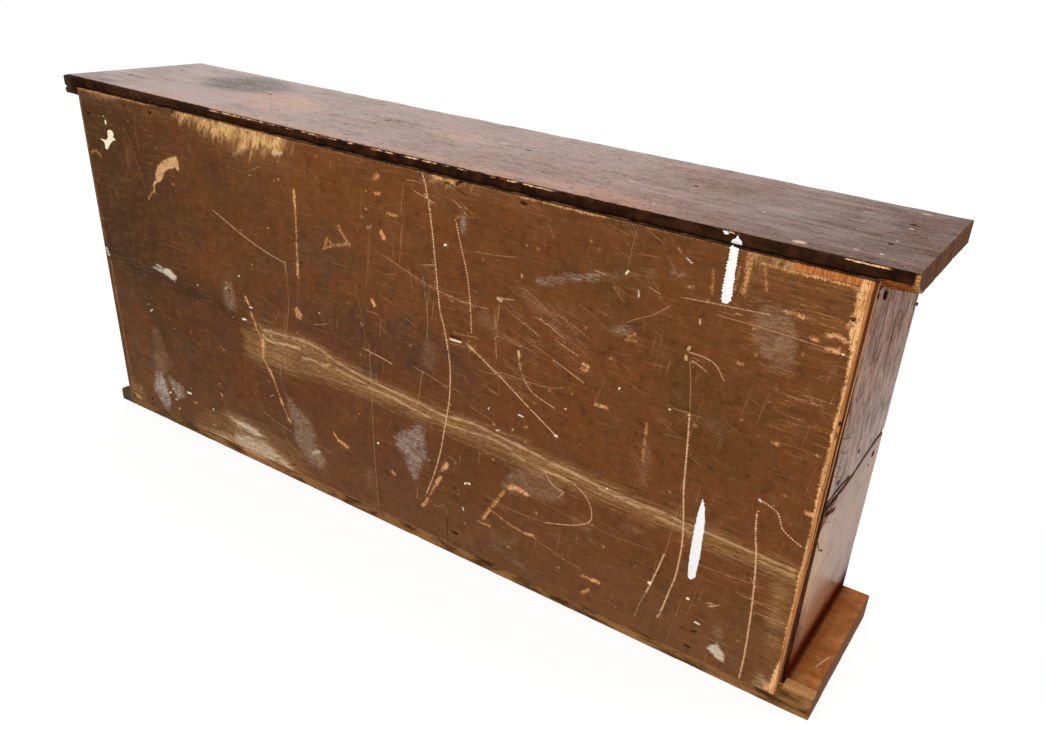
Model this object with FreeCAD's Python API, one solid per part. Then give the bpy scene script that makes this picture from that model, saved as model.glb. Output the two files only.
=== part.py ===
import FreeCAD, Part
import os

# Pigeonhole cabinet: an open nailed case with one shelf, crossed dividers and a plywood back.
# Millimetres. +X along the width, +Y towards the back, +Z up. The front faces -Y.
# The origin is on the floor, under the middle of the overall box. Left and right are as seen from the front.

# Case
case_width = 861.0
case_depth = 162.0
end_board_height = 345.0
end_board_thickness = 19.0
top_board_thickness = 19.0
top_left_overhang = 24.5
top_right_overhang = 29.0
top_front_overhang = 12.0
bottom_board_thickness = 27.0
bottom_left_overhang = 26.0
bottom_right_overhang = 23.5
outer_edge_radius = 1.5
front_edge_radius = 0.8

# Pigeonholes
column_count = 5
divider_thickness = 9.5
shelf_thickness = 12.0
housing_depth = 4.0
joint_clearance = 0.1

# Scored line on the outside of each end board, where the shelf behind it is nailed
score_width = 2.4
score_depth = 1.2

# Plywood back, nailed over the back edges of the case. Its left edge is cut out of square,
# so it stands past the end board at the top and falls short of it at the bottom.
back_thickness = 4.0
back_top_lap = 9.5
back_bottom_lap = 12.5
back_right_inset = 1.0
back_left_top_inset = -1.0
back_left_bottom_inset = 5.0

# Nails that hold the boards together
nail_shank_radius = 1.2
nail_head_radius = 2.2
nail_head_thickness = 1.0
nail_point_length = 3.0
nail_sink = 0.8
end_nail_reach = 30.0
divider_nail_reach = 24.0
shelf_nail_reach = 30.0
end_nail_back_margin = 55.0
end_nail_front_margin = 42.0
divider_nail_back_margin = 98.0

# Tacks that hold the back
tack_shank_radius = 0.8
tack_head_radius = 1.8
tack_head_thickness = 0.7
tack_point_length = 2.0
tack_sink = 0.3
tack_reach = 16.0
tack_wood_margin = 1.5
side_tack_count = 5
side_tack_margin = 18.5
divider_tack_margin = 57.0

# Stray brad standing out of the left end board, close to its front edge
brad_length = 15.0
brad_proud = 1.7
brad_front_margin = 4.0
brad_below_top = 53.0

# All nails and tacks sit in holes of their own size and this much more, on the radius
nail_hole_clearance = 0.05

# Heights
case_floor_z = bottom_board_thickness
case_ceiling_z = case_floor_z + end_board_height
top_z = case_ceiling_z + top_board_thickness
shelf_z = (case_floor_z + case_ceiling_z) / 2
shelf_bottom_z = shelf_z - shelf_thickness / 2
shelf_top_z = shelf_z + shelf_thickness / 2

# Depths
overall_depth = top_front_overhang + case_depth + back_thickness
back_face_y = overall_depth / 2
case_back_y = back_face_y - back_thickness
case_front_y = case_back_y - case_depth
top_front_y = case_front_y - top_front_overhang
crossing_y = (case_front_y + case_back_y) / 2

# Widths
case_half = case_width / 2
inside_half = case_half - end_board_thickness
end_centre_x = case_half - end_board_thickness / 2
divider_count = column_count - 1
column_width = (2 * inside_half - divider_count * divider_thickness) / column_count
column_pitch = column_width + divider_thickness
divider_xs = [-inside_half - divider_thickness / 2 + column_pitch * n for n in range(1, column_count)]
column_xs = [-inside_half + column_width / 2 + column_pitch * n for n in range(column_count)]

# The case is modelled about its own middle, then moved to the middle of the overall box
left_reach = case_half + max(top_left_overhang, bottom_left_overhang)
right_reach = case_half + max(top_right_overhang, bottom_right_overhang)
case_centre = FreeCAD.Vector((left_reach - right_reach) / 2, 0, 0)

UP = FreeCAD.Vector(0, 0, 1)
DOWN = FreeCAD.Vector(0, 0, -1)
RIGHT = FreeCAD.Vector(1, 0, 0)
LEFT = FreeCAD.Vector(-1, 0, 0)
FORWARD = FreeCAD.Vector(0, -1, 0)

os.makedirs("parts", exist_ok=True)


def block(x_range, y_range, z_range):
    """A box between two values on each axis."""
    corner = FreeCAD.Vector(x_range[0], y_range[0], z_range[0])
    size_x = x_range[1] - x_range[0]
    size_y = y_range[1] - y_range[0]
    size_z = z_range[1] - z_range[0]
    return Part.makeBox(size_x, size_y, size_z, corner)


def eased(shape, radius, chosen=None):
    """The shape with its chosen edges, or all of them, rounded over."""
    edges = [edge for edge in shape.Edges if chosen is None or chosen(edge)]
    return shape.makeFillet(radius, edges)


def turned_solid(profile, head_point, direction):
    """A solid turned from a half profile of (radius, depth) points, its axis set along direction."""
    points = [FreeCAD.Vector(radius, 0, depth) for radius, depth in profile]
    face = Part.Face(Part.makePolygon(points + points[:1]))
    solid = face.revolve(FreeCAD.Vector(0, 0, 0), UP, 360)
    solid.Placement = FreeCAD.Placement(head_point, FreeCAD.Rotation(UP, direction))
    return solid


class Fastener:
    """A size of nail: its own shape and the hole that it makes in the wood."""

    def __init__(self, shank_radius, head_radius, head_thickness, point_length, sink):
        self.shank_radius = shank_radius
        self.head_radius = head_radius
        self.head_thickness = head_thickness
        self.point_length = point_length
        self.sink = sink

    def nail(self, surface_point, direction, length):
        """The nail, driven at surface_point until its head is below the surface by the sink."""
        neck = self.sink + self.head_thickness
        profile = [
            (0, self.sink),
            (self.head_radius, self.sink),
            (self.head_radius, neck),
            (self.shank_radius, neck),
            (self.shank_radius, self.sink + length - self.point_length),
            (0, self.sink + length),
        ]
        return turned_solid(profile, surface_point, direction)

    def hole(self, surface_point, direction, length):
        """The hole for that nail, open at the surface where the head is sunk."""
        neck = self.sink + self.head_thickness
        shank_radius = self.shank_radius + nail_hole_clearance
        head_radius = self.head_radius + nail_hole_clearance
        profile = [
            (0, 0),
            (head_radius, 0),
            (head_radius, neck + nail_hole_clearance),
            (shank_radius, neck + nail_hole_clearance),
            (shank_radius, self.sink + length - self.point_length),
            (0, self.sink + length + nail_hole_clearance),
        ]
        return turned_solid(profile, surface_point, direction)


board_nail = Fastener(
    nail_shank_radius, nail_head_radius, nail_head_thickness, nail_point_length, nail_sink
)
back_tack = Fastener(
    tack_shank_radius, tack_head_radius, tack_head_thickness, tack_point_length, tack_sink
)
stray_brad = Fastener(
    tack_shank_radius, tack_head_radius, tack_head_thickness, tack_point_length, -brad_proud
)

# Every fastener group: node name to its solids. Every board: node name to the holes cut in it.
fastener_groups = {}
board_holes = {}


def drive(group, fastener, surface_point, direction, length, boards):
    """Adds one nail to its group and its hole to each board that it passes through."""
    fastener_groups.setdefault(group, []).append(fastener.nail(surface_point, direction, length))
    for board in boards:
        board_holes.setdefault(board, []).append(fastener.hole(surface_point, direction, length))


def drive_board_nails():
    """Nails through the top, the bottom and the end boards."""
    through_top = top_board_thickness - nail_sink
    through_bottom = bottom_board_thickness - nail_sink
    through_end = end_board_thickness - housing_depth - nail_sink
    nail_ys = [case_back_y - end_nail_back_margin, case_front_y + end_nail_front_margin]
    divider_nail_y = case_back_y - divider_nail_back_margin
    for side, sign, inward in (("left", -1, RIGHT), ("right", 1, LEFT)):
        end_board = f"{side}_end_board"
        for y in nail_ys:
            top_point = FreeCAD.Vector(sign * end_centre_x, y, top_z)
            drive(f"top_nails_{side}", board_nail, top_point, DOWN,
                  through_top + end_nail_reach, ["top_board", end_board])
            bottom_point = FreeCAD.Vector(sign * end_centre_x, y, 0)
            drive(f"bottom_nails_{side}", board_nail, bottom_point, UP,
                  through_bottom + end_nail_reach, ["bottom_board", end_board])
            shelf_point = FreeCAD.Vector(sign * case_half, y, shelf_z)
            drive(f"shelf_nails_{side}", board_nail, shelf_point, inward,
                  through_end + shelf_nail_reach, [end_board, "middle_shelf"])
    for number, x in enumerate(divider_xs, 1):
        divider = f"divider_{number}"
        drive("divider_nails_top", board_nail, FreeCAD.Vector(x, divider_nail_y, top_z), DOWN,
              through_top - housing_depth + divider_nail_reach, ["top_board", divider])
        drive("divider_nails_bottom", board_nail, FreeCAD.Vector(x, divider_nail_y, 0), UP,
              through_bottom - housing_depth + divider_nail_reach, ["bottom_board", divider])


def drive_back_tacks():
    """Tacks through the plywood into the edges of the boards behind it."""
    length = back_thickness - tack_sink + tack_reach
    row_offset = housing_depth + tack_wood_margin

    def tack(group, x, z, board):
        drive(group, back_tack, FreeCAD.Vector(x, back_face_y, z), FORWARD, length,
              ["back_panel", board])

    for x in sorted(divider_xs + column_xs):
        tack("back_tacks_top", x, case_ceiling_z + row_offset, "top_board")
        tack("back_tacks_bottom", x, case_floor_z - row_offset, "bottom_board")
    side_pitch = (end_board_height - 2 * side_tack_margin) / (side_tack_count - 1)
    for side, sign in (("left", -1), ("right", 1)):
        for n in range(side_tack_count):
            z = case_floor_z + side_tack_margin + side_pitch * n
            tack(f"back_tacks_{side}", sign * end_centre_x, z, f"{side}_end_board")
    for number, x in enumerate(divider_xs, 1):
        tack("back_tacks_dividers", x, case_floor_z + divider_tack_margin, f"divider_{number}")
        tack("back_tacks_dividers", x, case_ceiling_z - divider_tack_margin, f"divider_{number}")
    for x in column_xs:
        tack("back_tacks_shelf", x, shelf_z, "middle_shelf")


def drive_stray_brad():
    point = FreeCAD.Vector(-case_half, case_front_y + brad_front_margin, case_ceiling_z - brad_below_top)
    drive("stray_brad", stray_brad, point, RIGHT, brad_length, ["left_end_board"])


def housings(z_range):
    """The grooves across a board that the dividers stand in, open at the back."""
    half_width = (divider_thickness + joint_clearance) / 2
    return [block((x - half_width, x + half_width), (case_front_y, case_back_y), z_range)
            for x in divider_xs]


def top_board():
    x_range = (-case_half - top_left_overhang, case_half + top_right_overhang)
    board = block(x_range, (top_front_y, case_back_y), (case_ceiling_z, top_z))
    board = eased(board, outer_edge_radius)
    return board.cut(housings((case_ceiling_z, case_ceiling_z + housing_depth)))


def bottom_board():
    x_range = (-case_half - bottom_left_overhang, case_half + bottom_right_overhang)
    board = block(x_range, (case_front_y, case_back_y), (0, case_floor_z))
    board = eased(board, outer_edge_radius)
    return board.cut(housings((case_floor_z - housing_depth, case_floor_z)))


def at_front(edge):
    """True for an upright edge on the front of the case."""
    ends = edge.Vertexes
    upright = abs(ends[0].Z - ends[-1].Z) > end_board_height / 2
    return upright and abs(edge.CenterOfMass.y - case_front_y) < front_edge_radius / 2


def end_board(sign):
    """One end board, with the groove for the shelf inside and the scored line outside."""
    outer_x = sign * case_half
    inner_x = sign * inside_half
    board = block(sorted((outer_x, inner_x)), (case_front_y, case_back_y), (case_floor_z, case_ceiling_z))
    board = eased(board, front_edge_radius, at_front)
    groove_x = inner_x + sign * housing_depth
    groove = block(sorted((inner_x, groove_x)), (case_front_y, case_back_y),
                   (shelf_bottom_z, shelf_top_z + joint_clearance))
    score_points = [
        FreeCAD.Vector(outer_x, case_front_y, shelf_z - score_width / 2),
        FreeCAD.Vector(outer_x, case_front_y, shelf_z + score_width / 2),
        FreeCAD.Vector(outer_x - sign * score_depth, case_front_y, shelf_z),
    ]
    score_face = Part.Face(Part.makePolygon(score_points + score_points[:1]))
    score = score_face.extrude(FreeCAD.Vector(0, case_depth, 0))
    return board.cut([groove, score])


def middle_shelf():
    """The shelf, slotted from its front edge to its middle where each divider crosses it."""
    half = inside_half + housing_depth
    shelf = block((-half, half), (case_front_y, case_back_y), (shelf_bottom_z, shelf_top_z))
    half_width = (divider_thickness + joint_clearance) / 2
    slots = [block((x - half_width, x + half_width), (case_front_y, crossing_y + joint_clearance),
                   (shelf_bottom_z, shelf_top_z)) for x in divider_xs]
    return shelf.cut(slots)


def divider(x):
    """A divider, slotted from its back edge to its middle where the shelf crosses it."""
    x_range = (x - divider_thickness / 2, x + divider_thickness / 2)
    z_range = (case_floor_z - housing_depth, case_ceiling_z + housing_depth)
    board = block(x_range, (case_front_y, case_back_y), z_range)
    slot = block(x_range, (crossing_y, case_back_y), (shelf_bottom_z, shelf_top_z + joint_clearance))
    return board.cut(slot)


def back_panel():
    bottom_z = case_floor_z - back_bottom_lap
    panel_top_z = case_ceiling_z + back_top_lap
    right_x = case_half - back_right_inset
    corners = [
        FreeCAD.Vector(-case_half + back_left_bottom_inset, case_back_y, bottom_z),
        FreeCAD.Vector(right_x, case_back_y, bottom_z),
        FreeCAD.Vector(right_x, case_back_y, panel_top_z),
        FreeCAD.Vector(-case_half + back_left_top_inset, case_back_y, panel_top_z),
    ]
    sheet = Part.Face(Part.makePolygon(corners + corners[:1]))
    return sheet.extrude(FreeCAD.Vector(0, back_thickness, 0))


drive_board_nails()
drive_back_tacks()
drive_stray_brad()

boards = {
    "top_board": top_board(),
    "bottom_board": bottom_board(),
    "left_end_board": end_board(-1),
    "right_end_board": end_board(1),
    "middle_shelf": middle_shelf(),
    "back_panel": back_panel(),
}
for number, x in enumerate(divider_xs, 1):
    boards[f"divider_{number}"] = divider(x)

for name, board in boards.items():
    drilled = board.cut(board_holes[name])
    drilled.translate(case_centre)
    drilled.exportStep(f"parts/{name}.step")
    print(name, len(drilled.Solids), round(drilled.Volume / 1000, 1), "cm3")

for name, nails in fastener_groups.items():
    group = Part.makeCompound(nails)
    group.translate(case_centre)
    group.exportStep(f"parts/{name}.step")
    print(name, len(nails), "nails")

print("pigeonhole", round(column_width, 2), "wide,", round(shelf_bottom_z - case_floor_z, 2), "high")
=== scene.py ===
import math
import random
from contextlib import contextmanager

import bmesh
import bpy
import numpy as np
from mathutils import Matrix, Vector, noise


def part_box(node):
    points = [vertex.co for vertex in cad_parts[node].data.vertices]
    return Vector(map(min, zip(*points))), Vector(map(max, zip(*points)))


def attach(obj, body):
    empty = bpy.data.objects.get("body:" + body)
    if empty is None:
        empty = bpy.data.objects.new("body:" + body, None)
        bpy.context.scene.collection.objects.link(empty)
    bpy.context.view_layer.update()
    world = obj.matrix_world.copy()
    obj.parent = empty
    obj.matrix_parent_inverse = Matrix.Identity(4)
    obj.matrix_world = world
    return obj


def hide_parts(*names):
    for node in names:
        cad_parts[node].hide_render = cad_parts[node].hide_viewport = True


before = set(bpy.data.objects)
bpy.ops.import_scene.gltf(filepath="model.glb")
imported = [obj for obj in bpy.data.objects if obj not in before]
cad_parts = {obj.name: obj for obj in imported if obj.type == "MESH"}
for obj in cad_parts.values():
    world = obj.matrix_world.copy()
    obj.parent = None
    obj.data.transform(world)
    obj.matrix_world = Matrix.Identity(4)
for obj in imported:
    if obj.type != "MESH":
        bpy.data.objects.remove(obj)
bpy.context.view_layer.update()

# An old pigeonhole cabinet seen from behind: stained boards and a scratched plywood back.
# Metres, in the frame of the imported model. +X along the width, +Y towards the back, +Z up.
# Marks are given in millimetres as a tape would measure them on the face that they are on.

MM = 0.001

# Places taken from the frame
panel_low, panel_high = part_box("back_panel")
left_low, left_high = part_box("left_end_board")
right_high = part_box("right_end_board")[1]
top_low, top_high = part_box("top_board")
base_low, base_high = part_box("bottom_board")
shelf_low, shelf_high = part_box("middle_shelf")
case_left_x = left_low.x
case_right_x = right_high.x
case_back_y = left_high.y
case_front_y = left_low.y
divider_names = [f"divider_{number}" for number in (1, 2, 3, 4)]
nail_names = [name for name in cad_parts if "nails" in name or "tacks" in name or "brad" in name]

# Camera, fitted to the photograph
camera_place = Vector((-0.5533, 0.6744, 0.5689))
camera_yaw = math.radians(-150.35)
camera_pitch = math.radians(-27.695)
camera_roll = math.radians(4.76)
camera_lens = 31.394
camera_shift = (-0.0572, 0.0319)

# The bare strip down the right edge of the back, from its foot, and the torn corner above it
strip_x, strip_foot, strip_lean = 857.5, 14, 2.5 / 367
torn_corner = (805, 374.5)

# Screen colours from 0 to 255 that several finishes share
deep_brown = (84, 52, 32)
mid_brown = (126, 82, 52)
fibre_brown = (150, 104, 70)


# Shader maths


class Value:
    """An output socket that takes part in sums."""

    def __init__(self, nodes, socket):
        self.nodes = nodes
        self.socket = socket

    def do(self, operation, *others):
        return self.nodes.node("Math", dict(enumerate((self,) + others)), operation=operation)

    def __add__(self, other):
        return self.do("ADD", other)

    __radd__ = __add__

    def __sub__(self, other):
        return self.do("SUBTRACT", other)

    def __rsub__(self, other):
        return self * -1 + other

    def __mul__(self, other):
        return self.do("MULTIPLY", other)

    __rmul__ = __mul__

    def __truediv__(self, other):
        return self.do("DIVIDE", other)

    def __pow__(self, other):
        return self.do("POWER", other)

    def __abs__(self):
        return self.do("ABSOLUTE")

    def lowest(self, other):
        return self.do("MINIMUM", other)

    def highest(self, other):
        return self.do("MAXIMUM", other)

    def rise(self, start, end):
        """0 below start, 1 past end, eased between them. It falls where start is the larger."""
        places = {"Value": self, "From Min": start, "From Max": end}
        return self.nodes.node("MapRange", places, interpolation_type="SMOOTHSTEP")

    def between(self, start, full, fading, end):
        """1 from full to fading, eased down to 0 at start and end."""
        return self.rise(start, full) * self.rise(end, fading)


class Nodes:
    """A node tree, built one node at a time."""

    def __init__(self, owner):
        owner.use_nodes = True
        self.owner = owner
        self.tree = owner.node_tree
        self.tree.nodes.clear()

    def node(self, kind, inputs, output=0, **settings):
        """One node with the values or links of its sockets, the output wanted, and its settings."""
        made = self.tree.nodes.new(f"ShaderNode{kind}")
        for setting, value in settings.items():
            setattr(made, setting, value)
        for socket, value in inputs.items():
            if isinstance(value, Value):
                self.tree.links.new(value.socket, made.inputs[socket])
            else:
                made.inputs[socket].default_value = value
        return Value(self, made.outputs[output] if output is not None else None)

    def end(self, kind, surface):
        """Joins what has been built to the output and returns the material or world."""
        self.node(f"Output{kind}", {"Surface": surface}, None)
        return self.owner


def linear(colour):
    """Screen levels from 0 to 255 as the linear colour that a shader takes. A socket stays as it is."""
    if isinstance(colour, Value):
        return colour
    levels = [level / 255 for level in colour]
    return [level / 12.92 if level <= 0.04045 else ((level + 0.055) / 1.055) ** 2.4 for level in levels] + [1]


class Finish(Nodes):
    """A material built from nodes on the object's own coordinates, in millimetres."""

    def __init__(self, name):
        super().__init__(bpy.data.materials.new(name))
        metres = self.node("TexCoord", {}, "Object")
        millimetres = self.node("VectorMath", {0: metres, "Scale": 1 / MM}, operation="SCALE")
        self.x = self.node("SeparateXYZ", {0: millimetres})
        self.y, self.z = (Value(self, self.x.socket.node.outputs[axis]) for axis in (1, 2))
        self.tape = case_right_x / MM - self.x
        self.forward = case_back_y / MM - self.y

    def mix(self, amount, under, over):
        """The colour under, covered by the colour over where amount is 1."""
        return self.node("Mix", {0: amount, 6: linear(under), 7: linear(over)}, 2, data_type="RGBA")

    def mix_values(self, amount, under, over):
        """The number under where amount is 0 and over where it is 1."""
        return self.node("Mix", {0: amount, 2: under, 3: over})

    def coats(self, colour, *layers):
        """A colour under coats laid on in turn, each as how much of it shows and its colour."""
        for amount, over in layers:
            colour = self.mix(amount, colour, over)
        return colour

    def vector(self, x, y, z):
        return self.node("CombineXYZ", {0: x, 1: y, 2: z})

    def clouds(self, waves, detail=3, roughness=0.55, distortion=0, place=None):
        """Noise from about 0.25 to 0.75, with so many waves a millimetre, alike or on each axis."""
        if isinstance(waves, tuple):
            place, waves = self.vector(self.x * waves[0], self.y * waves[1], self.z * waves[2]), 1
        return self.node("TexNoise", {"Vector": place or self.vector(self.x, self.y, self.z), "Scale": waves,
                                      "Detail": detail, "Roughness": roughness, "Distortion": distortion})

    def painted(self, name):
        """A value kept on the mesh under that name."""
        return self.node("Attribute", {}, "Fac", attribute_name=name)

    def spot(self, across, up, middle, half):
        """1 in the middle of an oval and 0 at its rim."""
        du = (across - middle[0]) / half[0]
        dv = (up - middle[1]) / half[1]
        return (1 - (du * du + dv * dv) ** 0.5).highest(0)

    def surface(self, colour, roughness, relief, depth, level=0.5, metallic=0, varnish=0, polish=0.25):
        """Joins the shader and returns the material. Varnish is how much of the clear coat is left."""
        normal = self.node("Bump", {"Height": relief, "Distance": depth, "Strength": 1})
        shader = self.node("BsdfPrincipled", {
            "Base Color": colour, "Roughness": roughness, "Metallic": metallic, "Specular IOR Level": level,
            "Coat Weight": varnish, "Coat Roughness": polish, "Normal": normal})
        return self.end("Material", shader)


def grain(finish, along):
    """Broad figure, fine fibres and short dark pores of wood whose grain runs along one axis."""
    length, across, through = (getattr(finish, axis) for axis in {"x": "xyz", "y": "yxz", "z": "zxy"}[along])

    def waves(run, width, *noise_settings):
        place = finish.vector(length * run, across * width, through * width)
        return finish.clouds(1, *noise_settings, place=place)

    return (waves(0.004, 0.05, 4, 0.6, 1.5), waves(0.03, 0.9, 3, 0.6, 0.2),
            waves(0.16, 1.9, 2, 0.5).rise(0.62, 0.72))


def plain_inside():
    """The boards inside the case: brown stain, less worn than outside, with pale front arrises."""
    finish = Finish("plain brown stain")
    figure, fibres, pores = grain(finish, "y")
    front = finish.y.rise(case_front_y / MM + 1.6, case_front_y / MM + 0.1)
    rubbed = finish.clouds((0.05, 1, 0.05), 4, 0.7)
    dirt = finish.clouds(0.018, 4, 0.6)
    colour = finish.coats(
        finish.mix(figure.rise(0.3, 0.7), deep_brown, mid_brown),
        (fibres.rise(0.35, 0.7) * 0.45, fibre_brown), (pores * 0.5, (52, 30, 18)),
        (front * rubbed.rise(0.42, 0.6) * 0.8, (176, 128, 84)), (dirt.rise(0.5, 0.75) * 0.35, (62, 42, 30)))
    return finish.surface(colour, 0.52 + (fibres - 0.5) * 0.3, fibres - pores * 0.6, 0.0003)


def dark_nails():
    """Nail heads: oxidised steel under the remains of the stain."""
    finish = Finish("oxidised nails")
    rust = finish.clouds(0.9, 4, 0.6)
    colour = finish.mix(rust.rise(0.4, 0.65), (44, 34, 28), (92, 60, 40))
    return finish.surface(colour, 0.45 + rust * 0.3, rust, 0.0002, metallic=0.6)


def stained_tacks():
    """Tack heads that the brown finish of the back runs over."""
    finish = Finish("stained over tacks")
    rust = finish.clouds(0.9, 4, 0.6)
    low_wear = finish.tape.between(150, 190, 290, 320) * finish.z.rise(60, 40)
    high_wear = finish.tape.rise(330, 310) * finish.z.rise(366, 374)
    colour = finish.mix(rust.rise(0.4, 0.7), (76, 44, 20), (104, 62, 32))
    colour = finish.mix(low_wear.highest(high_wear) * 0.8, colour, (164, 120, 76))
    return finish.surface(colour, 0.5, rust, 0.0002, 0.05)


def give_material(name, material):
    """Gives a piece of the CAD model its material."""
    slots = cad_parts[name].data.materials
    slots.clear()
    slots.append(material)


nail_finish, tack_finish, inside_finish = dark_nails(), stained_tacks(), plain_inside()
for name in nail_names:
    give_material(name, tack_finish if "tacks" in name else nail_finish)
for name in divider_names + ["middle_shelf"]:
    give_material(name, inside_finish)


# Modelling


def take(piece):
    """Makes a piece the only one that operators act on."""
    if bpy.context.mode != "OBJECT":
        bpy.ops.object.mode_set(mode="OBJECT")
    bpy.ops.object.select_all(action="DESELECT")
    bpy.context.view_layer.objects.active = piece
    piece.select_set(True)


@contextmanager
def editing(piece, kind="FACE"):
    """Edit mode on one piece, selecting by edge or by face."""
    take(piece)
    bpy.ops.object.mode_set(mode="EDIT")
    bpy.ops.mesh.select_mode(type=kind)
    yield
    bpy.ops.object.mode_set(mode="OBJECT")


def select(piece, wanted, kind="edges"):
    """In edit mode, selects the edges or faces that wanted is true of, and nothing else."""
    mesh = bmesh.from_edit_mesh(piece.data)
    for part in list(mesh.faces) + list(mesh.edges) + list(mesh.verts):
        part.select = False
    mesh.select_mode = {"EDGE"} if kind == "edges" else {"FACE"}
    for part in getattr(mesh, kind):
        if wanted(part):
            part.select = True
    mesh.select_flush_mode()
    bmesh.update_edit_mesh(piece.data)


def block(low, high):
    """A plain block from one corner to the other."""
    bpy.ops.object.select_all(action="DESELECT")
    bpy.ops.mesh.primitive_cube_add(size=1.0, location=(low + high) / 2)
    made = bpy.context.object
    made.scale = high - low
    bpy.ops.object.transform_apply(location=True, rotation=True, scale=True)
    return made


def blank(name, low, high, cells):
    """A board from one corner to the other, divided into about that many cells on each axis."""
    board = block(low, high)
    board.name = board.data.name = name
    with editing(board, "EDGE"):
        for axis, count in enumerate(cells):
            def runs_along(edge, axis=axis):
                run = edge.verts[1].co - edge.verts[0].co
                return abs(run[axis]) > 0.5 * run.length
            select(board, runs_along)
            bpy.ops.mesh.subdivide(number_cuts=count - 1)
    return board


def refine(board, wanted, cuts=1):
    """Divides the faces that wanted is true of, asked once for the middles of all of them."""
    with editing(board):
        mesh = bmesh.from_edit_mesh(board.data)
        chosen = wanted(np.array([face.calc_center_median() for face in mesh.faces]))
        select(board, lambda face: chosen[face.index], "faces")
        bpy.ops.mesh.subdivide(number_cuts=cuts)


def soften(board, width):
    """Rounds the arrises of a board."""
    take(board)
    bevel = board.modifiers.new("arrises", "BEVEL")
    bevel.width = width
    bevel.segments = 3
    bevel.limit_method = "ANGLE"
    bevel.angle_limit = math.radians(40)
    bpy.ops.object.modifier_apply(modifier=bevel.name)


def join(pieces):
    """Makes one piece of several."""
    take(pieces[0])
    for piece in pieces:
        piece.select_set(True)
    if len(pieces) > 1:
        bpy.ops.object.join()
    return bpy.context.object


def cut_out(board, cutters):
    """Cuts housings and nail holes, given as closed pieces, out of a board."""
    tool = join(cutters)
    take(board)
    cut = board.modifiers.new("housings", "BOOLEAN")
    cut.operation = "DIFFERENCE"
    cut.solver = "EXACT"
    cut.object = tool
    bpy.ops.object.modifier_apply(modifier=cut.name)
    bpy.data.objects.remove(tool)


def hole_cutter(place, radius, depth):
    """A round cutter that goes straight down from a place on the surface, and stands as far out of it."""
    bpy.ops.object.select_all(action="DESELECT")
    bpy.ops.mesh.primitive_cylinder_add(vertices=20, radius=radius, depth=2 * depth, location=place)
    bpy.ops.object.transform_apply(location=True, rotation=True, scale=True)
    return bpy.context.object


def finish_piece(piece, materials, node=None, smooth=30):
    """Gives a finished piece its materials and its place in the cabinet."""
    take(piece)
    bpy.ops.object.shade_smooth_by_angle(angle=math.radians(smooth))
    piece.data.materials.clear()
    for material in materials:
        piece.data.materials.append(material)
    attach(piece, "root")
    if node:
        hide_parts(node)


# Marks: strokes and patches drawn on a face with a tape, as distances in millimetres


def marks(*rows):
    """Marks from rows of a width, a strength, and the two distances of each point. A patch has no width."""
    return [(row[0], row[1], list(zip(row[2::2], row[3::2]))) for row in rows]


def smooth_run(points, steps=6):
    """A curve through points, for a stroke that bends."""
    if len(points) < 3:
        return points
    ends = [points[0]] + list(points) + [points[-1]]
    run = []
    for n in range(len(points) - 1):
        p0, p1, p2, p3 = (Vector(p) for p in ends[n:n + 4])
        for step in range(steps):
            t = step / steps
            curve = p1 * 2 + (p2 - p0) * t + (p0 * 2 - p1 * 5 + p2 * 4 - p3) * t * t
            curve += (p1 * 3 - p0 - p2 * 3 + p3) * t * t * t
            run.append(tuple(curve / 2))
    run.append(tuple(points[-1]))
    return run


def follow(spots, run):
    """How far each spot is from a line of points, on which side of it, and how far along it."""
    best = np.full(len(spots), 1e9)
    side, along = np.ones((2, len(spots)))
    travelled = 0.0
    run = np.array(run, float)
    for start, step in zip(run[:-1], np.diff(run, axis=0)):
        length = max(float(np.hypot(*step)), 1e-6)
        share = np.clip((spots - start) @ step / length ** 2, 0, 1)
        gap = spots - start - share[:, None] * step
        distance = np.hypot(*gap.T)
        closer = distance < best
        best[closer] = distance[closer]
        side[closer] = np.where(step[0] * gap[closer, 1] < step[1] * gap[closer, 0], -1, 1)
        along[closer] = travelled + share[closer] * length
        travelled += length
    return best, side, along


def depth_in_patch(spots, points):
    """How far each spot is inside a closed outline, negative outside it."""
    closed = points + points[:1]
    inside = np.zeros(len(spots), bool)
    for (x0, y0), (x1, y1) in zip(closed[:-1], closed[1:]):
        if y0 != y1:
            reach = x0 + (spots[:, 1] - y0) * (x1 - x0) / (y1 - y0)
            inside ^= ((y0 > spots[:, 1]) != (y1 > spots[:, 1])) & (spots[:, 0] < reach)
    distance = follow(spots, closed)[0]
    return np.where(inside, distance, -distance)


def depth_in_marks(spots, drawn, limit=4.0):
    """How far each spot is inside the nearest mark, within the limit, and how strong that mark is."""
    best = np.full(len(spots), -limit)
    much = np.ones(len(spots))
    margin = limit + 30
    for width, strength, points in drawn:
        corners = np.array(points, float)
        near = np.all((spots > corners.min(0) - margin) & (spots < corners.max(0) + margin), axis=1)
        if not near.any():
            continue
        if width:
            depth = width / 2 - follow(spots[near], smooth_run(points))[0]
        else:
            depth = depth_in_patch(spots[near], points)
        nearer = depth > best[near]
        best[near] = np.where(nearer, depth, best[near])
        much[near] = np.where(nearer, strength, much[near])
    return np.clip(best, -limit, limit), much


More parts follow.
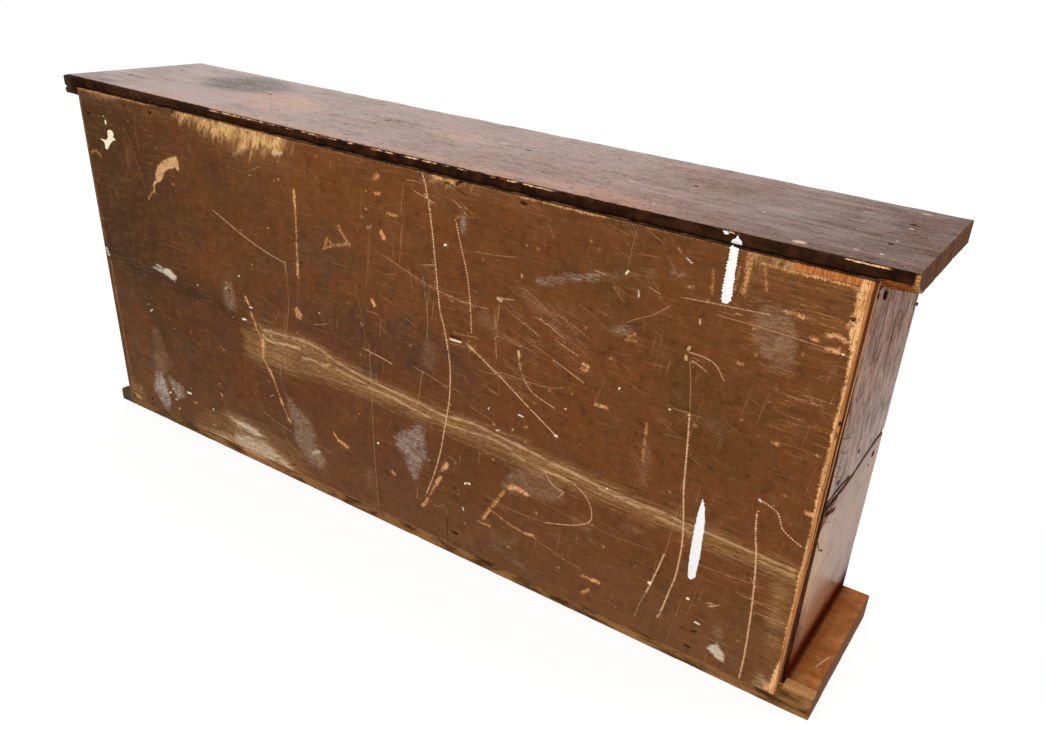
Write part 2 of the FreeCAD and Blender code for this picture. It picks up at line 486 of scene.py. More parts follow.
def trace_strokes(spots, strokes, reach=8.0):
    """For each spot: its offset to one side of the nearest stroke, that stroke's half width, how far
    along it the spot is, its strength, and the plain distance. The sign keeps thin strokes whole."""
    best = np.full(len(spots), reach)
    offset = np.full(len(spots), reach)
    half, run, much = np.zeros((3, len(spots)))
    for width, strength, points in strokes:
        curve = np.array(smooth_run(points), float)
        near = np.all((spots > curve.min(0) - reach) & (spots < curve.max(0) + reach), axis=1)
        where = np.nonzero(near)[0]
        distance, side, along = follow(spots[where], curve)
        closer = distance < best[where]
        found = where[closer]
        best[found] = distance[closer]
        offset[found] = (side * distance)[closer]
        half[found] = width / 2
        run[found] = along[closer]
        much[found] = strength
    return offset, half, run, much, best


def keep_values(piece, **values):
    """Keeps numbers for each vertex on the mesh, for a material to read."""
    for name, numbers in values.items():
        layer = piece.data.attributes.new(name, "FLOAT", "POINT")
        layer.data.foreach_set("value", np.asarray(numbers, np.float32))


def vertex_places(piece):
    places = np.zeros(len(piece.data.vertices) * 3, np.float32)
    piece.data.vertices.foreach_get("co", places)
    return places.reshape(-1, 3).astype(float)


def move_vertices(piece, places):
    piece.data.vertices.foreach_set("co", places.astype(np.float32).ravel())
    piece.data.update()


def jitter(place, scale, seed=0.0):
    """Smooth noise from about -1 to 1 at a place in metres, with a scale in waves a metre."""
    return noise.noise(Vector(place) * scale + Vector((seed, seed * 1.7, -seed)))


# The plywood back. Distances are from its left edge as seen from behind, and up from the floor.

# Fine pale scratches. Those of full strength are beaded.
scratches = marks(
    (1.3, 0.85, 202, 290, 210, 287, 242, 274, 275, 264, 301, 259),
    (1.3, 0.5, 302, 260, 302, 233, 301, 213, 298, 197, 294, 180, 290, 175), (3, 0.6, 301, 258, 301.5, 250),
    (1, 0.4, 321, 335, 320, 287, 318, 250, 315, 216),
    (1.7, 1, 477, 380, 481.5, 366, 487, 336.5, 491.5, 300, 496, 263, 501, 247, 507.7, 213, 508, 190, 507, 175,
     502, 145, 497, 118, 491, 95, 483, 72, 480, 64), (1.2, 0.8, 468, 363, 480, 360, 490, 357),
    (1, 0.7, 461, 371, 470, 371.5, 479, 371),
    (1.2, 1, 513, 347, 518, 329, 525, 306, 528, 290, 530, 272, 531.5, 252),
    (1.1, 0.8, 511, 363, 518, 359, 523, 355), (1.1, 0.7, 522, 361, 530, 356),
    (1, 0.6, 535, 325, 556, 327, 575, 330), (1, 0.7, 430, 298, 459, 289, 490, 281, 528, 277, 547, 278),
    (1, 0.6, 477, 290, 481, 261, 482, 246, 481, 232), (1, 0.6, 507, 234, 531, 236),
    (1, 0.7, 513, 245, 538, 248), (1, 0.6, 555.5, 278, 557, 261), (1.2, 0.7, 560.5, 284, 558, 256, 559, 236),
    (1, 0.6, 558, 256, 584, 253), (1.7, 0.9, 531, 236, 561, 220, 585, 205, 600, 196, 625, 181),
    (2.6, 0.8, 529, 238, 537, 233), (1, 0.7, 530, 233, 535, 238),
    (1.4, 0.8, 582, 247, 584, 236, 591, 221, 601, 213, 621, 207),
    (1, 0.6, 564, 223, 599, 223, 619, 225, 630, 230), (1, 0.7, 548, 204, 561, 200),
    (0.9, 0.4, 564, 202, 561, 220), (1.1, 0.7, 570, 282, 602, 268), (1.1, 0.8, 602, 284, 626, 273),
    (1.1, 0.8, 619, 269, 641, 262), (1.1, 0.85, 618, 251, 647, 240), (1.1, 0.6, 627, 290, 650, 280),
    (1, 0.8, 727, 335, 753, 337, 793, 339.6), (1.1, 0.65, 756, 329, 800, 328.5, 836, 327, 858, 325),
    (1, 0.6, 809, 287, 813, 284, 842, 284), (1, 0.6, 828, 288, 850, 288),
    (1.2, 0.85, 738, 294, 750, 293.5, 760, 290, 767, 281), (1.3, 0.8, 741, 288, 752, 283.5),
    (1.2, 0.6, 738.5, 287, 741.5, 272, 744, 250),
    (1.9, 1, 744.6, 243, 746, 224, 747.7, 196, 749, 175, 751, 160, 754, 135, 754.5, 115, 753, 90, 750, 75,
     745, 50, 742, 40), (1.1, 0.5, 746, 155, 744, 135, 741, 110),
    (1.9, 1, 740, 107, 736, 90, 731, 70, 728, 60), (1.2, 0.6, 728, 60, 724, 48, 720, 30),
    (1.9, 1, 812, 178, 813, 168, 815, 155, 818, 140, 822, 100, 824, 60, 824.5, 35, 824, 14),
    (1.3, 1, 812, 192, 820, 190, 828, 186, 831, 180, 834, 174, 842, 169, 851, 165),
    (1, 0.5, 668, 106, 690, 104, 710, 105, 725, 106), (1, 0.6, 767, 111, 790, 112, 820, 114, 850, 116),
    (1, 0.6, 808, 100, 830, 98, 845, 97), (1, 0.7, 828, 88, 850, 89), (1, 0.5, 836, 85, 850, 86),
    (1, 0.6, 682, 303, 694, 310, 704, 315, 717, 326), (1, 0.4, 661, 375, 676, 371),
    (1, 0.4, 667, 247, 661, 229), (1, 0.6, 553, 89, 585, 86, 620, 88),
    (1.4, 0.85, 620, 88, 650, 98, 665, 108, 667, 118, 662, 130, 650, 139, 635, 142, 615, 142),
    (1.4, 0.85, 617, 140, 622, 133, 630, 129, 637, 128, 633, 122), (1, 0.4, 600, 110, 635, 106, 668, 105),
    (1.2, 0.6, 475, 195, 473, 183, 470, 165, 469, 158), (1, 0.7, 466, 197, 485, 194, 503, 189),
    (1.3, 0.9, 403, 197, 420, 195, 437, 192), (1, 0.6, 409, 205, 410, 140, 411, 80, 414, 20),
    (1.1, 0.6, 278, 168, 281, 140, 279, 128), (1, 0.45, 280, 128, 282, 115, 288, 100, 284, 75),
    (1, 0.5, 295, 203, 291, 180, 287, 165), (1, 0.5, 286, 205, 280, 190),
    (1.2, 0.6, 240, 78, 262, 70, 275, 68, 290, 65), (1.2, 0.6, 275, 63, 283, 52, 300, 40, 310, 36),
    (1, 0.5, 327, 63, 340, 61, 350, 60), (1, 0.5, 334, 146, 347, 151),
    (1.2, 0.3, 73, 350, 82, 332, 88, 312, 96, 283), (1.8, 0.18, 92, 362, 92, 330),
    (1, 0.6, 262, 342, 276, 348), (1, 0.45, 345, 358, 353, 349), (1, 0.7, 338, 204, 353, 209),
    (1, 0.4, 393, 269, 402, 224, 405, 203), (1, 0.35, 413, 309, 411, 284, 408, 263),
    (0.8, 0.5, 358, 377, 385, 379, 412, 378, 400, 375), (1, 0.7, 508, 116, 516, 113, 514, 110),
    (1, 0.6, 543, 134, 543, 122), (1, 0.5, 543, 133, 555, 137), (1, 0.6, 532, 178, 557, 172),
    (1, 0.6, 487, 55, 492, 52, 500, 57, 505, 52), (1, 0.6, 608, 66, 635, 59, 660, 54),
    (1, 0.35, 181, 68, 188, 50, 187, 30), (1, 0.3, 0, 200, 60, 201, 104, 200), (1, 0.5, 43, 86, 50, 88),
    (1.2, 0.6, 177, 48, 190, 48), (1.5, 0.9, 786, 74, 794, 79), (1.2, 0.8, 784, 77, 789, 79),
    (1, 0.8, 477, 300, 488, 302), (1, 0.4, 378, 250, 391, 250), (1.2, 0.6, 408, 238, 421, 238),
    (1, 0.5, 430, 256, 442, 253), (1, 0.5, 423, 281, 436, 281, 446, 284), (1, 0.4, 462, 291, 465, 270),
    (1, 0.5, 425, 232, 424, 217), (1.2, 0.5, 457, 243, 469, 238), (1.1, 0.5, 606, 362, 610, 355),
    (1, 0.6, 668, 328, 676, 320), (1, 0.8, 697, 336, 706, 333), (1.2, 0.7, 650, 337, 660, 336))

# Areas of fine scratches: left, right, low, high, angle, count, length, strength
hatched_areas = [
    (572, 652, 255, 302, -24, 30, 26, 0.6), (540, 600, 205, 262, -14, 16, 18, 0.5),
    (395, 520, 215, 300, 80, 14, 20, 0.35), (430, 560, 200, 300, -16, 16, 20, 0.4),
    (780, 856, 275, 372, 1, 34, 16, 0.5), (655, 730, 290, 372, -30, 12, 10, 0.45),
    (560, 860, 20, 130, -8, 34, 20, 0.4), (300, 560, 20, 140, 62, 22, 16, 0.35),
    (240, 400, 150, 215, -10, 16, 18, 0.4), (20, 240, 30, 340, -60, 14, 14, 0.25),
    (420, 560, 330, 378, 2, 12, 16, 0.4), (600, 760, 150, 250, -35, 12, 12, 0.35),
    (768, 792, 350, 378, 88, 10, 16, 0.5),
]

# Strands of the long pale rub that crosses the back
strands = marks(
    (2, 0.85, 262, 177, 300, 179, 320, 180.5, 340, 179, 355, 174, 370, 171, 385, 168, 400, 166, 420, 164, 455,
     162, 485, 159, 500, 158, 527, 161, 545, 161, 565, 159, 590, 157, 625, 153, 660, 150),
    (1.6, 0.75, 660, 149, 700, 147, 740, 146, 790, 144, 850, 142),
    (2.4, 0.9, 258, 170, 268, 166, 290, 169, 312, 171), (2.4, 0.7, 316, 160, 328, 163, 345, 162, 356, 166),
    (1.8, 0.7, 363, 163, 380, 161, 402, 160), (2, 0.8, 405, 157, 435, 156, 455, 153, 484, 150),
    (1.8, 0.7, 500, 150, 525, 151, 560, 153, 578, 150), (1.8, 0.7, 580, 147, 594, 144),
    (2, 0.8, 620, 150, 635, 151, 652, 150, 680, 146, 712, 143), (1.6, 0.7, 720, 147, 737, 147),
    (1.6, 0.8, 728, 141, 745, 140, 757, 140), (1.2, 0.6, 822, 138, 850, 136), (1.6, 0.6, 610, 142, 640, 141),
    (1.6, 0.8, 256, 176, 272, 173))

# The rub itself: olive brown, softer than its strands
rubs = marks(
    (0, 0.9, 248, 178, 300, 183, 325, 184, 360, 176, 420, 167, 500, 162, 530, 164, 600, 160, 700, 150, 855,
     145, 855, 130, 760, 132, 640, 137, 560, 140, 470, 144, 400, 145, 350, 147, 300, 140, 262, 138, 240, 144,
     232, 160), (0, 0.9, 228, 165, 252, 172, 262, 150, 250, 136, 230, 142),
    (0, 0.22, 10, 380, 150, 379, 150, 371, 10, 370), (0, 0.6, 836, 125, 852, 125, 852, 55, 844, 55),
    (0, 0.2, 150, 380, 330, 380, 330, 352, 262, 346, 190, 360),
    (0, 0.42, 120, 15, 320, 15, 300, 40, 240, 56, 180, 54, 140, 36), (0, 0.6, 4, 14, 30, 14, 28, 36, 12, 40),
    (0, 0.22, 480, 380, 600, 380, 595, 370, 490, 366),
    (0, 0.12, 765, 380, 856, 378, 856, 330, 800, 345, 775, 350))

# Large worn places, where the stain thins out into pale wood
wear = marks(
    (0, 0.95, 158, 392, 160, 378, 176, 375, 195, 371, 208, 369, 215, 366, 226, 368, 236, 362, 241, 359, 247,
     363, 256, 358, 264, 356, 270, 364, 290, 366, 300, 364, 308, 369, 316, 374, 322, 392),
    (0, 0.45, 4, 392, 5, 377, 30, 378.5, 60, 380.5, 66, 392),
    (0, 0.75, 187, 51, 215, 50, 240, 44, 246, 38, 226, 40, 200, 42, 190, 46),
    (0, 0.8, 130, 12, 170, 19, 186, 24, 200, 33, 225, 32, 244, 36, 262, 29, 284, 21, 292, 12),
    (0, 0.8, 484, 392, 488, 378, 508, 377, 524, 380, 530, 392),
    (0, 0.7, 770, 392, 776, 378, 806, 378, 806, 392), (0, 0.9, 842, 14, 842, 26, 850, 24, 862, 26, 862, 12))

# Bare wood: finish torn away down to the veneer
bare = marks(
    (1, 0.9, 2, 380.8, 120, 381), (0.9, 0.7, 330, 381, 410, 381.1, 480, 381),
    (0.9, 0.75, 530, 381, 700, 381.1, 860, 381), (2, 0.9, 488, 379.5, 512, 377.5),
    (2, 0.9, 578, 380.5, 592, 380.5), (1.8, 0.9, 599, 380.5, 630, 380, 655, 380.5),
    (0, 1, 150, 335, 155, 333, 155, 322, 151, 321, 149, 325, 145, 322, 139, 321, 130, 316, 126, 308, 118, 303,
     113, 303, 116, 313, 120, 320, 130, 327, 141, 332), (2.4, 1, 116, 304, 110, 299, 109, 292),
    (1.2, 0.6, 108, 292, 103, 288, 97, 281), (3, 0.9, 152, 335, 152, 323),
    (1.1, 0.9, 128, 14.6, 200, 14.6, 290, 14.8), (0.8, 0.5, 290, 15, 505, 15),
    (2.2, 0.22, 7.5, 190, 8, 120, 8.5, 60, 9, 24), (1.2, 0.35, 2, 378, 2.5, 300, 3, 215),
    (0, 0.5, 11, 22, 22, 19, 24, 15, 12, 15), (1.4, 0.4, 20, 28, 27, 33),
    (2.4, 0.8, 243, 191, 247, 182, 249, 176), (2.6, 0.9, 237, 207, 241, 200),
    (5.4, 0.95, 257.5, 163, 257, 155), (3.4, 0.7, 257, 155, 255, 142),
    (3.4, 0.85, 263, 132, 266, 127, 269, 121), (2, 0.5, 272, 112, 275, 106), (1.5, 0.7, 249, 176, 257, 163),
    (1.6, 0.8, 255, 142, 263, 132), (1.3, 0.7, 269, 121, 277, 101), (1.3, 0.6, 279, 95, 287, 80),
    (3.2, 0.95, 277, 101, 279, 95), (3.4, 0.9, 287, 80, 289, 77),
    (2.2, 0.55, 377, 313, 380, 307, 384, 303, 389, 297), (2.4, 0.5, 389, 299, 381, 296, 374, 294),
    (2.2, 0.5, 366, 293, 361, 297, 358, 291, 356, 286), (1.8, 0.45, 357, 287, 366, 291, 373, 294),
    (3.4, 0.9, 360, 80, 366, 78.5, 373, 77), (2.4, 0.8, 354, 87, 358, 83), (2.6, 0.95, 321, 335, 321, 318),
    (1.8, 0.7, 321, 316, 320, 288), (1.6, 0.8, 319, 283, 319, 268), (2.4, 0.95, 319, 266, 318, 249),
    (0, 0.65, 309, 213, 313, 216, 320, 210, 318, 203, 311, 204), (4, 0.7, 424, 366, 427, 368),
    (2.6, 0.6, 423, 352, 428, 353), (4.4, 0.95, 429, 318, 432, 314), (3.6, 0.95, 415, 250, 418, 246),
    (3, 0.4, 413, 319, 416, 321), (2, 0.4, 405, 328, 407, 328), (1.8, 0.8, 437, 337, 448, 337),
    (2.4, 0.95, 646, 256, 651, 255), (2, 0.9, 645, 251.5, 650, 251), (2.2, 0.7, 814, 243, 818, 243),
    (2.4, 0.9, 661, 224, 672, 224), (3.4, 0.7, 499, 97, 502, 102), (4.6, 0.95, 502, 101, 505, 106),
    (4, 0.8, 497, 88, 494, 83, 492, 79), (1.6, 0.7, 490, 76, 484, 63),
    (3.2, 0.75, 481, 57, 478, 51, 474, 46), (4.4, 0.95, 578, 109, 585, 112, 592, 111, 598, 110),
    (3, 0.5, 573, 103, 568, 95), (3.4, 0.6, 566, 91, 560, 81), (3.6, 0.7, 557, 76, 550, 63),
    (1.8, 0.7, 543, 56.5, 558, 57), (1.4, 0.75, 558, 76, 580, 69, 600, 66), (2.4, 0.9, 599, 66.5, 608, 68),
    (4.2, 0.9, 674, 48, 680, 48.5), (2.4, 0.7, 664, 48, 670, 48), (2.6, 0.75, 665, 29, 671, 35),
    (3.4, 0.7, 434, 70, 437, 69), (2, 0.6, 7, 314, 12, 317, 18, 317, 23, 313),
    (1.2, 0.95, 780, 375, 806, 374, 830, 374.5, 858, 373), (1.4, 0.7, 770, 380, 771, 366),
    (3.4, 0.5, 773, 380, 773, 364, 771, 351), (1.6, 0.5, 784, 372, 788, 357),
    (1.4, 0.45, 747, 361, 748, 344), (1.2, 0.4, 766, 368, 765, 350), (3, 0.8, 836, 336, 843, 338, 850, 335),
    (3, 0.8, 838, 327, 846, 327), (2.6, 0.85, 826, 331, 830, 331), (2.2, 0.7, 848, 345, 850, 350),
    (1.8, 0.85, 804, 345, 812, 345.5, 818, 344), (0, 0.9, 845, 24, 848, 20, 857, 23, 858, 15, 846, 15),
    (3.4, 0.95, 849, 196, 854, 195), (2, 0.55, 709, 223, 710, 212), (1.6, 0.6, 709, 208, 710, 203),
    (1.6, 0.4, 709, 199, 710, 188), (1.8, 0.7, 685, 292, 690, 295), (1.4, 0.5, 682, 288, 692, 290),
    (1.4, 0.5, 595, 342, 598, 342), (1.8, 0.7, 776, 297.5, 780, 297), (1.4, 0.7, 729, 344, 733, 345))

# Old cream and white paint: small splashes and specks
paint_specks = marks(
    (3.4, 0.8, 559, 290, 562, 289), (1.3, 0.6, 562, 291, 575, 293), (3, 0.8, 582, 248, 583, 244),
    (2.4, 0.8, 736, 296, 737, 298), (2.6, 0.8, 735, 290, 735.5, 287.5), (2.2, 0.6, 582, 317, 582, 315),
    (1.8, 0.8, 742, 322, 742.5, 318.5), (1.8, 1, 508, 238, 520, 238.5), (3.4, 1, 730, 72, 730.5, 72),
    (3, 1, 767, 73, 767.5, 73), (2.6, 1, 117, 56, 123, 56.5), (2.2, 0.8, 96, 27, 98, 29),
    (2, 0.9, 82, 44, 85, 46), (2, 0.8, 89, 51, 90, 53), (1.6, 0.9, 92, 39, 95, 39),
    (1.8, 1, 160, 48, 161, 49), (1.3, 0.9, 69, 145, 74, 149), (1.6, 0.5, 67, 153, 69, 154),
    (2.2, 1, 229, 180, 234, 180.5), (1.8, 0.9, 242, 197, 246, 197), (2.2, 1, 416, 97, 417, 97.5),
    (1.6, 0.8, 317, 182, 318, 182), (2.2, 0.9, 527, 93, 528, 94), (2.2, 1, 531, 95, 533, 95),
    (1.6, 0.9, 525, 65, 526, 62), (1.2, 0.9, 552, 182, 553, 184), (1.4, 0.9, 562, 164, 565, 165),
    (1.6, 0.8, 579, 170, 580, 172), (1.6, 1, 585, 188, 590, 187.5), (2.2, 1, 624, 181, 626, 181),
    (2, 0.6, 531, 237, 533, 236), (1.6, 1, 677, 341, 679, 344), (1.2, 1, 689, 331, 690, 326),
    (1.2, 0.9, 725, 365, 730, 362), (1.2, 0.7, 717, 371, 720, 368), (1.6, 1, 679, 149, 680, 149),
    (1.6, 1, 849, 326, 850, 326), (2, 0.9, 812, 192, 813, 191), (2, 0.9, 777, 52.5, 781, 52),
    (2.2, 0.5, 127, 47, 133, 47), (1.6, 0.6, 176, 86, 178, 87), (2.6, 0.55, 178, 75, 180, 72),
    (1.6, 0.6, 156, 27, 162, 27), (1.4, 0.9, 160, 200, 162, 200), (1.4, 0.6, 110, 136, 111, 135),
    (1.2, 0.6, 288, 142, 291, 142), (1.1, 0.8, 261, 99, 266, 102), (1.8, 1, 230, 228, 231, 228),
    (1.6, 0.8, 281, 290, 282, 290), (1.4, 0.8, 412, 352, 413, 352), (1.8, 1, 501, 323, 503, 324),
    (1.4, 0.7, 585, 342, 586, 342), (1.6, 0.9, 632, 210, 633, 210), (1.6, 0.9, 681, 245, 682, 246),
    (1.6, 0.9, 727, 242, 728, 242), (1.4, 0.8, 836, 284, 837, 284), (1.4, 0.6, 302, 358, 303, 358),
    (1.2, 0.9, 207, 208, 209, 210), (1.2, 0.7, 213, 178, 215, 178), (1.2, 0.9, 344, 218, 345, 218),
    (1.2, 0.8, 399, 223, 400, 223), (1.6, 0.6, 252, 246, 253, 246), (1.4, 0.5, 188, 137, 190, 133),
    (1.2, 0.4, 190, 132, 196, 134), (1.4, 0.6, 88, 312, 89, 312), (2, 0.5, 301, 366, 310, 367))

# Grey scuffs where the finish is bruised but not broken
scuffs = marks(
    (0, 0.95, 80, 40, 81, 28, 74, 19, 68, 21, 60, 33, 53, 41, 58, 55, 62, 66, 70, 66, 77, 56),
    (0, 0.5, 88, 98, 84, 75, 78, 66, 62, 66, 62, 85, 68, 100),
    (0, 0.28, 70, 128, 80, 126, 84, 110, 86, 98, 68, 98, 66, 110),
    (0, 0.8, 84, 66, 95, 64, 107, 60, 111, 51, 104, 45, 97, 42, 91, 51, 86, 60),
    (0, 0.75, 467, 138, 474, 138, 476, 125, 478, 105, 472, 90, 468, 80, 464, 73, 455, 84, 452, 97, 441, 104,
     445, 118, 455, 125, 463, 128),
    (0, 0.55, 585, 133, 610, 140, 632, 134, 640, 120, 625, 112, 600, 110, 580, 104, 570, 108, 573, 118),
    (0, 0.66, 288, 108, 300, 100, 318, 88, 327, 76, 326, 60, 341, 47, 333, 35, 318, 34, 304, 44, 296, 58, 292,
     78), (0, 0.6, 206, 218, 216, 216, 221, 200, 219, 188, 210, 184, 202, 192, 203, 206),
    (0, 0.58, 790, 346, 806, 343, 814, 330, 815, 312, 808, 303, 792, 310, 784, 322, 784, 336),
    (1.6, 0.62, 800, 345, 808, 339, 813, 330, 815, 318, 814, 307, 807, 303),
    (2, 0.6, 787, 328, 790, 318, 797, 312), (2.6, 0.75, 599, 316, 614, 320, 630, 326, 654, 334),
    (1.8, 0.5, 654, 334, 671, 339, 699, 347), (4, 0.5, 694, 346, 699, 348), (4, 0.65, 718, 352, 725, 353),
    (7, 0.4, 560, 50, 575, 44, 588, 56), (5, 0.35, 70, 326, 72, 312), (4, 0.7, 521, 352, 521, 340),
    (4, 0.7, 674, 295, 683, 297), (14, 0.35, 484, 225, 484, 208), (7, 0.35, 712, 200, 712, 168),
    (7, 0.4, 402, 58, 403, 42), (6, 0.3, 700, 118, 716, 122), (5, 0.4, 530, 33, 538, 27),
    (7, 0.35, 650, 104, 664, 100), (6, 0.5, 798, 55, 800, 48), (4, 0.5, 560, 36, 580, 32, 598, 28),
    (9, 0.25, 828, 263, 829, 264), (12, 0.4, 544, 270, 552, 266), (10, 0.25, 764, 241, 772, 240),
    (10, 0.3, 588, 300, 600, 290), (3, 0.45, 840, 110, 842, 64))

# Cream paint rubbed thin
smears = marks(
    (0, 0.85, 104, 204, 110, 207, 118, 206, 126, 201, 122, 195, 115, 197, 106, 199),
    (2, 0.7, 88, 203, 96, 202, 104, 202), (1.8, 0.6, 94, 207, 104, 205), (3.6, 0.8, 4, 204, 6, 198),
    (0, 0.8, 799, 40, 803, 37, 807, 32, 808, 25, 803, 25, 797, 28, 792, 31, 794, 35),
    (0, 0.55, 192, 47, 212, 49.5, 236, 45, 240, 41, 224, 38, 205, 43),
    (0, 0.3, 194, 26, 214, 33, 240, 34, 262, 26, 280, 18, 286, 15.5, 200, 15.5), (4, 0.5, 322, 50, 330, 55),
    (2.4, 0.5, 296, 364, 308, 366))

# Dark places: nail holes and gouges with painted shade in them, bruises and open grain
dark_spots = marks(
    (2.6, 0.9, 12, 357, 15, 357), (2.6, 0.7, 76, 375, 80, 375), (3, 0.8, 118, 373, 120, 373),
    (3, 0.8, 155, 380, 156, 380), (3, 1, 850.5, 351.5, 851, 351.5), (2.8, 1, 858, 275, 858, 274),
    (2, 1, 578, 375.5, 583, 375), (2.4, 1, 515, 379, 518, 380), (1, 0.7, 504, 376, 513, 374, 522, 370),
    (2, 0.9, 43, 23, 46, 24), (2, 1, 286, 21, 290, 22.5), (2.6, 1, 513, 30, 518, 30),
    (2, 1, 546, 25, 547, 23), (2.2, 1, 771, 23, 775, 22.5), (2, 1, 775, 41, 779, 42),
    (2.6, 1, 514, 83, 515, 83), (1.4, 1, 507, 241, 519, 241), (2, 0.8, 212, 207, 213, 207),
    (1, 0.6, 505.5, 44, 505.5, 16), (1.2, 0.8, 500, 376, 506, 377), (2, 0.8, 5, 17, 9, 16),
    (1.2, 0.6, 466, 110, 470, 109), (1.2, 0.6, 459, 107, 461, 106), (2, 0.6, 857, 266, 857, 263))

# Outlines of the runs and splashes of white paint, clockwise as seen from behind
paint_drips = marks(
    (0, 1, 757, 381.2, 763, 381.2, 763, 372, 763.2, 362, 763.4, 352, 763.4, 344, 762, 340, 759, 339, 756.4,
     341, 756, 347, 756.2, 356, 756.4, 364, 757, 372),
    (0, 1, 766.5, 174, 768.6, 168, 770.6, 158, 771.4, 140, 771.6, 118, 770.6, 98, 767.5, 93.4, 764.6, 94.4,
     763.4, 104, 763, 122, 763.4, 142, 764.2, 160, 765.4, 169))
paint_splashes = marks(
    (0, 1, 28, 332.5, 31.5, 332.8, 36, 332.5, 40, 334, 42.3, 337, 42.8, 343, 46, 345, 51.5, 344.4, 53, 341,
     51, 338, 55, 335.6, 49, 333.6, 44, 329.6, 40, 325.6, 37.5, 322.6, 34.4, 323.4, 34.8, 328, 33, 330.6),
    (0, 1, 41, 354.5, 43.4, 354, 43.2, 350, 41.2, 349.6),
    (0, 1, 39.4, 358.4, 40.4, 358.4, 40.2, 357, 39.5, 357))
paint_on_edge = marks(
    (0, 1, 755.4, 382.6, 756.2, 385, 758.4, 386.4, 759.6, 389, 761, 386.6, 763.2, 385.2, 763.8, 382.6),
    (0, 1, 748, 389.6, 751, 389.8, 753, 388.2, 750, 387.4))


def along_back(x):
    """Millimetres from the left edge of the back, seen from behind, for an x in metres."""
    return (case_right_x - x) / MM


def hatching(seed, clusters):
    """Fine scratches at random in the given areas."""
    draw = random.Random(seed)
    lines = []
    for left, right, low, high, angle, count, length, strength in clusters:
        for _ in range(count):
            middle = (draw.uniform(left, right), draw.uniform(low, high))
            reach = length * draw.uniform(0.25, 0.75)
            turn = math.radians(angle + draw.gauss(0, 7))
            offset = (math.cos(turn) * reach, math.sin(turn) * reach)
            bend = (middle[0] + draw.gauss(0, 0.5), middle[1] + draw.gauss(0, 0.5))
            width = draw.uniform(0.55, 1.0)
            points = [(middle[0] - offset[0], middle[1] - offset[1]), bend,
                      (middle[0] + offset[0], middle[1] + offset[1])]
            lines.append((width, strength * draw.uniform(0.4, 1.0), points))
    return lines


def scattered_specks(seed, count):
    draw = random.Random(seed)
    specks = []
    for _ in range(count):
        place = (20 + 830 * draw.random() ** 0.8, 22 + 350 * draw.random())
        drift = (place[0] + draw.uniform(0.3, 1.6), place[1] + draw.uniform(-0.8, 0.8))
        width = draw.uniform(0.8, 1.8)
        specks.append((width, draw.uniform(0.2, 0.7), [place, drift]))
    return specks


panel_marks = {"bare": bare + scattered_specks(11, 110), "wear": wear, "strand": strands, "scuff": scuffs,
               "smear": smears, "speck": paint_specks, "dark": dark_spots, "rub": rubs}
mark_reach = {"wear": 14.0, "rub": 10.0, "scuff": 8.0}
sharp_marks = [mark for kind in ("bare", "strand", "smear", "speck", "dark") for mark in panel_marks[kind]]
fine_strokes = scratches + hatching(5, hatched_areas)
panel_cell = 5.0
panel_recess = 0.25 * MM
deepest_dent = 2.2


def panel_edge_x(pick, z):
    """The x of one upright cut edge of the plywood at a height, read from its CAD solid."""
    places = vertex_places(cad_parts["back_panel"])
    low = places[places[:, 2] < panel_low.z + MM]
    high = places[places[:, 2] > panel_high.z - MM]
    share = (z - panel_low.z) / (panel_high.z - panel_low.z)
    return pick(low[:, 0]) * (1 - share) + pick(high[:, 0]) * share


